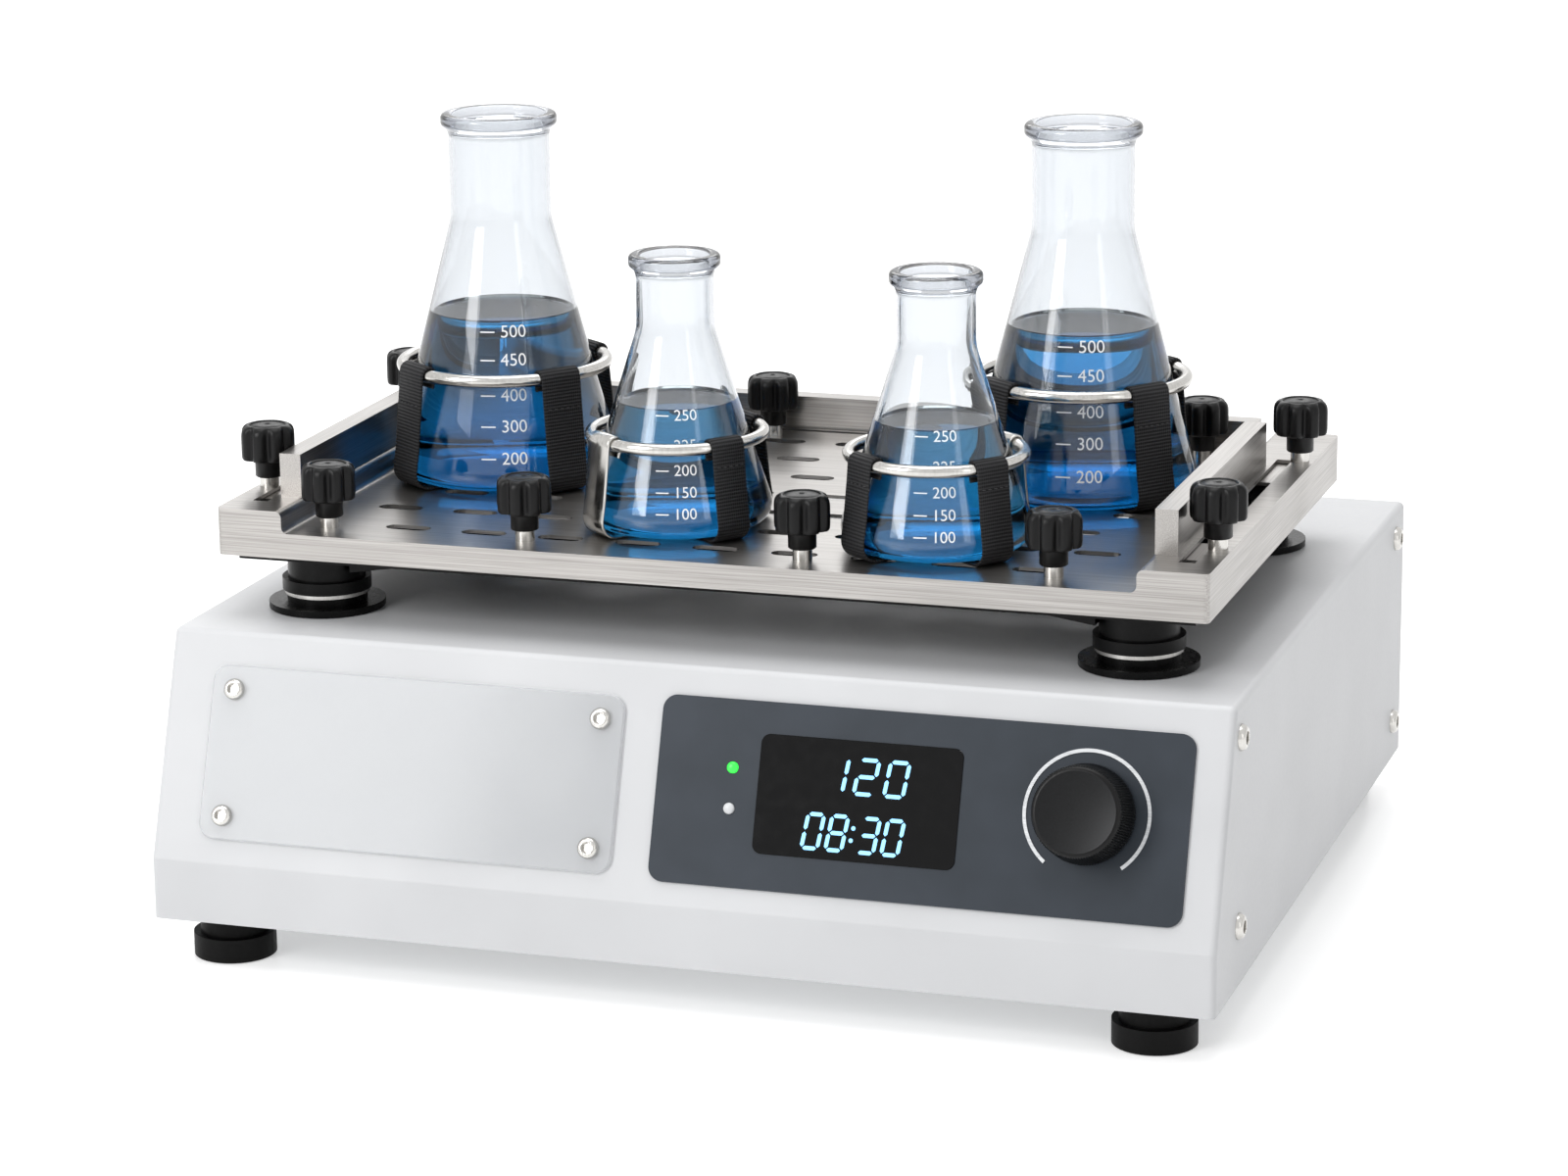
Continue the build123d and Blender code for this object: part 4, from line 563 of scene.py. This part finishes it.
def leg_path(size, holder, thickness):
    """Middle line of a leg in (radius, height) over the deck: under the base, round its heel, up to the wire,
    over it and down again behind itself."""
    half = thickness / 2
    ring, wire = holder["ring"], holder["wire"]
    level = holder["height"] + 1.2
    knee = size["base"] + 3.2
    outside = ring + wire + half + 0.1
    over = wire + half + 0.1
    up = [(holder["width"] / 2 + 2, half, 0), (knee, half, 8), (outside + 0.6, level - over - 4, 20),
          (outside, level, 2)]
    straight = rounded_path(up, 10)
    turn = np.linspace(0, 1.25 * np.pi, 16)[:, None]
    loop = np.array((ring, level)) + over * np.concatenate([np.cos(turn), np.sin(turn)], axis=1)
    tail = loop[-1] + np.array((1.0, -3.4)) * np.linspace(0.4, 1, 3)[:, None]
    return np.concatenate([straight, loop, tail])


def carried(path, section, centre, angle):
    """Section carried along a leg's path. Its width lies across the path, and is bent round the flask's axis
    by width / radius, fully at the ring and not at all under the base."""
    ahead = np.gradient(path, axis=0)
    ahead /= np.linalg.norm(ahead, axis=1)[:, None]
    away = np.stack([ahead[:, 1], -ahead[:, 0]], axis=1)
    spots = path[:, None, :] + section[None, :, 1:2] * away[:, None, :]
    radius, height = spots[..., 0], spots[..., 1]
    width = np.broadcast_to(section[None, :, 0], radius.shape)
    bend = np.clip((path[:, 1:2] - 4) / 14, 0, 1)
    turn = width / np.maximum(radius, 1)
    along = radius * (bend * np.cos(turn) + 1 - bend)
    across = bend * radius * np.sin(turn) + (1 - bend) * width
    x = along * math.cos(angle) - across * math.sin(angle)
    y = along * math.sin(angle) + across * math.cos(angle)
    return np.stack([centre[0] + x, centre[1] + y, centre[2] + height], axis=-1)


def capped(points):
    """The grid with both its ends closed: one more row at each, drawn together at the end's middle."""
    ends = [np.broadcast_to(row.mean(axis=0), row.shape)[None] for row in (points[0], points[-1])]
    return np.concatenate([ends[0], points, ends[1]])


def fine_path(path, step):
    """The path again, with its points step mm apart."""
    length = np.concatenate([[0], np.cumsum(np.linalg.norm(np.diff(path, axis=0), axis=1))])
    keep = np.concatenate([[True], np.diff(length) > 1e-6])
    places = np.linspace(0, length[-1], int(length[-1] / step))
    return np.stack([np.interp(places, length[keep], path[keep, axis]) for axis in (0, 1)], -1)


def stitch_row(path, size, holder):
    """Number of the path's point where the stitches lie: 5 mm under the wire, on the way up."""
    below = holder["height"] + DECK_DROP - holder["wire"] - 5
    outer = path[: len(path) // 2 + 20]
    inside = outer[:, 0] < size["base"] - 20
    return int(np.argmin(np.abs(outer[:, 1] - below) + inside * 99))


def stitches(name, number, deck, angle, path, row, holder):
    """Line of stitches across a leg, each a thin spindle that lies on the webbing."""
    turn = np.linspace(0, 2 * np.pi, 6, endpoint=False)
    spread = np.linspace(-1, 1, 5)
    thick = 0.28 * np.sqrt(np.maximum(0.05, 1 - spread ** 2))
    ahead = path[row + 1] - path[row - 1]
    ahead = ahead / np.linalg.norm(ahead)
    away = np.array((ahead[1], -ahead[0]))
    out = thick[:, None] * np.cos(turn) + STRAP_THICKNESS / 2 + 0.05
    up = thick[:, None] * np.sin(turn)
    radius = path[row, 0] + out * away[0] + up * ahead[0]
    height = path[row, 1] + out * away[1] + up * ahead[1]
    count = int(holder["width"] / STITCH_PITCH)
    for stitch in range(count):
        middle = (stitch - (count - 1) / 2) * STITCH_PITCH
        swing = angle + (middle + spread[:, None] + 0 * turn) / radius
        x, y = deck[0] + radius * np.cos(swing), deck[1] + radius * np.sin(swing)
        grid = np.stack([x, y, deck[2] + height], -1)
        piece(f"stitch_{name}_{number}_{stitch}", capped(grid), thread, "platform")


def holder_leg(name, number, centre, size, holder):
    """One leg, of webbing or of steel strip, with a line of stitches under the wire of a webbing one."""
    steel = (name, number) in STEEL_LEGS
    angle = math.radians(LEG_START + number * 90)
    path = fine_path(leg_path(size, holder, STRAP_THICKNESS), LEG_STEP)
    section = rounded_band(holder["width"], STRAP_THICKNESS)
    deck = centre - np.array((0, 0, DECK_DROP))
    points = capped(carried(path, section, deck, angle))
    length = np.arange(len(points))[:, None] * LEG_STEP
    uv = np.stack(np.broadcast_arrays(section[None, :, 0], length), -1) * MM
    finish, slot = (bright_steel, "stainless") if steel else (strap_cloth, "strap_webbing")
    node = "holder_rings" if steel else "holder_straps"
    piece(f"leg_{name}_{number}", points, finish, "platform", uv=uv, replaces=[node], sharp=50)
    if not steel:
        stitches(name, number, deck, angle, path, stitch_row(path, size, holder), holder)


for name, (size, holder) in FLASKS.items():
    low, high = node_box(f"flask_{name}")
    centre = np.array([(low[0] + high[0]) / 2, (low[1] + high[1]) / 2, low[2]])
    holder_ring(name, centre, holder)
    for number in range(4):
        holder_leg(name, number, centre, size, holder)


# Star knobs


def star_knob(node):
    """Knob whose radius is its profile's less a groove: groove depth times ((1 - cos(8 angle)) / 2) to a
    power, so the lobes stay broad. The profile runs from its bore up the collar, over the head and into the
    cap."""
    low, high = node_box(node)
    centre = ((low[0] + high[0]) / 2, (low[1] + high[1]) / 2, low[2])
    rows = [(0, 12, 0), (4.35, 12, 0), (4.35, 0.3, 0), (4.8, 0, 0), (5.7, 0, 0), (6.2, 0.5, 0), (6.2, 6.6, 0),
            (6.6, 7.6, 0), (7.6, 8.0, 0), (10.6, 8.0, 1.2),
            (11.8, 8.3, 1.9), (12.3, 9.2, 2.3), (12.45, 11, 2.5),
            (12.45, 18.5, 2.5), (12.35, 20.2, 2.4), (12.0, 21.6, 2.1), (11.2, 22.8, 1.5), (10.2, 23.5, 0.8),
            (9.2, 23.85, 0.2), (8.5, 23.9, 0), (8.1, 23.6, 0), (7.9, 23.2, 0), (7.5, 23.2, 0), (7.2, 23.5, 0),
            (3.5, 23.9, 0), (1.3, 24.0, 0), (0.9, 23.6, 0), (0, 23.5, 0)]
    rows = np.array(rows)
    angle = np.linspace(0, 2 * np.pi, 128, endpoint=False)
    groove = ((1 - np.cos(8 * angle)) / 2) ** 2.2
    radius = rows[:, :1] - rows[:, 2:] * groove
    points = np.stack([radius * np.cos(angle), radius * np.sin(angle), rows[:, 1:2] + 0 * angle], -1) + centre
    piece(node.replace("star_knob", "grip"), points, black_plastic, "knob" + node[len("star_knob"):],
          replaces=[node], sharp=50)


for name in frame["nodes"]:
    if name.startswith("star_knob"):
        star_knob(name)


# Screws, dial, display and plate


def socket_screw(name, place, radius, finish, body):
    """Button head: a round dome whose rows turn into a hexagon at the socket, of radius / cos(angle within a
    sixth). place turns (x, y, out) points into the frame."""
    angle = np.linspace(0, 2 * np.pi, 72, endpoint=False)
    six = 0.48 / np.cos((angle + np.pi / 6) % (np.pi / 3) - np.pi / 6)
    bow = np.linspace(0, 1, 8)
    dome = [(1 - 0.38 * share ** 1.6, 0.02 + 0.5 * math.sin(share * math.pi / 2), 0) for share in bow]
    socket = [(0.56, 0.52, 0), (0.98, 0.49, 1), (0.93, 0.1, 1), (0, 0.1, 1)]
    rows = np.array([(0, -0.4, 0), (1, -0.4, 0)] + dome + socket)
    reach = np.where(rows[:, 2:] > 0, rows[:, :1] * six, rows[:, :1] + 0 * angle) * radius
    points = np.stack([reach * np.cos(angle), reach * np.sin(angle), rows[:, 1:2] * radius + 0 * angle], -1)
    return piece(name, place(points), finish, body, sharp=28)


def plate_screws():
    across, up = PLATE_SIZE[0] / 2 - PLATE_SCREW_INSET, PLATE_SIZE[1] / 2 - PLATE_SCREW_INSET
    for sx in (-1, 1):
        for su in (-1, 1):
            spot = np.array((PLATE_CENTRE[0] + sx * across, PLATE_CENTRE[1] + su * up, PLATE_THICKNESS))
            def place(points, spot=spot):
                return on_slope(points + spot)
            name = f"plate_screw_{sx + 1}{su + 1}"
            made = socket_screw(name, place, PLATE_SCREW_RADIUS, screw_steel, "base")
            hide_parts("plate_screws")


def side_screws():
    half = node_box("housing_cover")[1][0]
    for side in (-1, 1):
        for number, (y, z) in enumerate(SIDE_SCREW_PLACES):
            def place(points, side=side, y=y, z=z):
                return np.stack([side * (half + points[..., 2]), y + points[..., 0], z + points[..., 1]], -1)
            name = f"side_screw_{side + 1}{number}"
            made = socket_screw(name, place, SIDE_SCREW_RADIUS, screw_steel, "base")
            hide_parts("side_screws")


def acrylic_plate():
    """Clear plate a hair over the coat, with a bevel round its face."""
    rows = [(0.3, 0.05), (0, 0.35), (0, 1.2), (0.8, 2.0)]
    points = plate(*PLATE_SIZE, PLATE_CORNER, rows) + np.array((*PLATE_CENTRE, 0))
    piece("nameplate", on_slope(points), acrylic, "base",
          replaces=["front_plate"], sharp=20)


def dial_knob():
    """Grip of fine upright ribs, whose radius swings by 0.3 cos(110 angle) between foot and face, and a
    turned face."""
    rows = np.array([(15, 0.4, 0), (20.6, 0, 0), (21.1, 0.5, 0.5), (20.9, 3, 1), (20.1, 9, 1), (19.4, 15, 1),
                     (19.1, 17.6, 1), (18.9, 18.2, 0), (18.6, 18.6, 0), (18.1, 19.0, 0), (17.6, 19.2, 0)])
    angle = np.linspace(0, 2 * np.pi, 880, endpoint=False)
    radius = rows[:, :1] + 0.3 * rows[:, 2:] * np.cos(110 * angle)
    grip = np.stack([radius * np.cos(angle), radius * np.sin(angle), rows[:, 1:2] + 0 * angle], -1)
    foot = np.array((*DIAL_CENTRE, DIAL_FOOT))
    middle = np.zeros_like(grip[:1]) + np.array((0, 0, 0.4))
    top = np.zeros_like(grip[:1]) + np.array((0, 0, 19.2))
    grip = np.concatenate([middle, grip, top])
    piece("dial_grip", on_slope(grip + foot), black_plastic, "dial_knob", replaces=["control_knob"],
          sharp=60)
    rings = np.array([(0, 19.1), (17.0, 19.1), (17.2, 19.25), (17.1, 19.35), (16.9, 19.3), (0.0, 19.3)])
    piece("dial_face", on_slope(turned(rings, foot, 128)), spun_face, "dial_knob")


SEGMENTS = {"0": "abcdef", "1": "bc", "2": "abged", "3": "abgcd", "8": "abcdefg"}


def digit_bars(character, left, bottom, width, height):
    """The lit bars of one seven-bar digit as (x, y) hexagons. Each bar runs between two of the digit's six
    corners and is pointed at both ends, and the digit leans by a share of its height."""
    half, gap, lean = 0.85, 0.45, 0.13
    nodes = {"p": (0, 1), "q": (1, 1), "r": (0, 0.5), "s": (1, 0.5), "t": (0, 0), "u": (1, 0)}
    ends = {"a": "pq", "b": "qs", "c": "su", "d": "tu", "e": "rt", "f": "pr", "g": "rs"}
    bars = []
    for bar in SEGMENTS[character]:
        start, end = (np.array(nodes[node]) * (width, height) for node in ends[bar])
        ahead = (end - start) / np.linalg.norm(end - start)
        across = np.array((-ahead[1], ahead[0])) * half
        start, end = start + ahead * gap, end - ahead * gap
        shape = [start, start + across + ahead * half, end + across - ahead * half, end,
                 end - across - ahead * half, start - across + ahead * half]
        bars.append(np.array([(left + x + lean * y, bottom + y) for x, y in shape]))
    return bars


def display_line(name, text, left, bottom, width, height, pitch):
    """One line of the display; a colon is two round dots between its digits."""
    shapes = []
    for character in text:
        if character == ":":
            turn = np.linspace(0, 2 * np.pi, 12, endpoint=False)
            for share in (0.32, 0.68):
                spot = (left + 0.13 * height * share - 0.4, bottom + height * share)
                shapes.append(np.stack([spot[0] + 0.95 * np.cos(turn), spot[1] + 0.95 * np.sin(turn)], -1))
            left += pitch * 0.32
            continue
        shapes += digit_bars(character, left, bottom, width, height)
        left += pitch
    flat = np.concatenate(shapes)
    counts = np.cumsum([0] + [len(shape) for shape in shapes])
    faces = [list(range(start, end))[::-1] for start, end in zip(counts, counts[1:])]
    lifted = np.column_stack([flat, np.full(len(flat), DISPLAY_FACE + 0.06)])
    mesh = bpy.data.meshes.new(name)
    mesh.from_pydata((on_slope(lifted) * MM).tolist(), [], faces)
    facing = mesh.polygons[0].normal @ Vector(push_axis)
    if facing < 0:
        mesh.flip_normals()
    shown(name, mesh, digit_glow, "base")


def lamp(name, height, finish):
    """Domed cap of an indicator."""
    rows = np.array([(0, 0.6), (2.45, 0.6), (2.45, 1.5), (2.3, 1.9), (1.7, 2.3), (0.9, 2.5), (0, 2.55)])
    piece(f"lamp_{name}", on_slope(turned(rows, (LIGHT_X, height, 0), 48)), finish, "base",
          replaces=["indicator_lights"], sharp=50)


plate_screws()
side_screws()
acrylic_plate()
dial_knob()
display_line("digits_speed", "120", 66.5, 54.4, 8.2, 14.5, 13.3)
display_line("digits_time", "08:30", 59.0, 29.9, 7.0, 14.5, 10.6)
lamp("speed", LIGHT_HEIGHTS["speed"], green_glow)
lamp("time", LIGHT_HEIGHTS["time"], white_lens)


# Camera, floor, light


def aimed_camera():
    """Camera of the photograph: yaw about Z, then pitch down, then roll about its own line of sight."""
    yaw, pitch, roll = (math.radians(value) for value in (CAMERA_YAW, CAMERA_PITCH, CAMERA_ROLL))
    ahead = Vector((-math.sin(yaw) * math.cos(pitch), math.cos(yaw) * math.cos(pitch), -math.sin(pitch)))
    right = Vector((math.cos(yaw), math.sin(yaw), 0))
    above = right.cross(ahead)
    level, upright = right, above
    right = level * math.cos(roll) + upright * math.sin(roll)
    above = upright * math.cos(roll) - level * math.sin(roll)
    data = bpy.data.cameras.new("photo_camera")
    data.lens, data.sensor_width, data.sensor_fit = CAMERA_LENS, SENSOR_WIDTH, "HORIZONTAL"
    camera = bpy.data.objects.new("photo_camera", data)
    bpy.context.scene.collection.objects.link(camera)
    turn = Matrix((right, above, -ahead)).transposed().to_4x4()
    camera.matrix_world = Matrix.Translation(Vector(CAMERA_PLACE) * MM) @ turn
    bpy.context.scene.camera = camera


def looked_at(tree):
    """1 for rays that look: from the camera, off a gloss or through glass. 0 for those that gather light."""
    path = add(tree, "ShaderNodeLightPath")
    seen = path.outputs["Is Camera Ray"]
    for kind in ("Is Glossy Ray", "Is Transmission Ray"):
        seen = add(tree, "ShaderNodeMath", {0: seen, 1: path.outputs[kind]}, operation="MAXIMUM").outputs[0]
    return seen


def floor():
    """White floor that keeps the shadow: part of what it shows is its own light, for rays that look."""
    mesh = bpy.data.meshes.new("floor")
    mesh.from_pydata([(x, y, -0.0004) for x, y in ((-8, -8), (8, -8), (8, 8), (-8, 8))], [], [(0, 1, 2, 3)])
    ground = bpy.data.objects.new("floor", mesh)
    bpy.context.scene.collection.objects.link(ground)
    made, tree = started("white_floor")
    diffuse = add(tree, "ShaderNodeBsdfPrincipled", {"Base Color": linear("#EDEDED"), "Roughness": 0.35})
    own = add(tree, "ShaderNodeEmission", {"Color": linear("#FFFFFF"), "Strength": 0.4})
    both = add(tree, "ShaderNodeAddShader", {0: diffuse.outputs[0], 1: own.outputs[0]})
    mixed = add(tree, "ShaderNodeMixShader", {0: looked_at(tree), 1: diffuse.outputs[0], 2: both.outputs[0]})
    add(tree, "ShaderNodeOutputMaterial", {"Surface": mixed.outputs[0]})
    mesh.materials.append(made)


def surroundings():
    """White for rays that look, and a soft studio, lighter above, for those that gather light."""
    world = bpy.data.worlds.new("studio")
    world.use_nodes = True
    tree = world.node_tree
    tree.nodes.clear()
    where = add(tree, "ShaderNodeTexCoord").outputs["Generated"]
    height = add(tree, "ShaderNodeSeparateXYZ", {0: where}).outputs[2]
    room = ranged(tree, height, 0.25, 0.85, -0.2, 0.9)
    studio = add(tree, "ShaderNodeBackground", {"Color": linear("#FFFFFF"), "Strength": room})
    white = add(tree, "ShaderNodeBackground", {"Color": linear("#FFFFFF"), "Strength": 1.0})
    mixed = add(tree, "ShaderNodeMixShader", {0: looked_at(tree), 1: studio.outputs[0], 2: white.outputs[0]})
    add(tree, "ShaderNodeOutputWorld", {"Surface": mixed.outputs[0]})
    bpy.context.scene.world = world


def soft_lamp(name, place, target, size, power):
    """Rectangular softbox at place that faces target, both in metres."""
    data = bpy.data.lights.new(name, "AREA")
    data.shape, data.size, data.size_y, data.energy = "RECTANGLE", size[0], size[1], power
    made = bpy.data.objects.new(name, data)
    made.location = place
    made.rotation_euler = (Vector(target) - Vector(place)).to_track_quat("-Z", "Y").to_euler()
    bpy.context.scene.collection.objects.link(made)


aimed_camera()
floor()
surroundings()
soft_lamp("key", (-1.3, -2.1, 1.5), (0, 0, 0.2), (0.9, 1.5), 32)
soft_lamp("fill", (2.1, -1.6, 1.0), (0, 0, 0.2), (0.4, 1.6), 3)
soft_lamp("top", (-0.1, 0.1, 2.4), (0, 0, 0.15), (1.6, 1.6), 22)
soft_lamp("rim", (-0.8, 2.2, 1.4), (0, 0, 0.2), (1.6, 0.8), 8)
bpy.context.scene.view_settings.view_transform = "Standard"
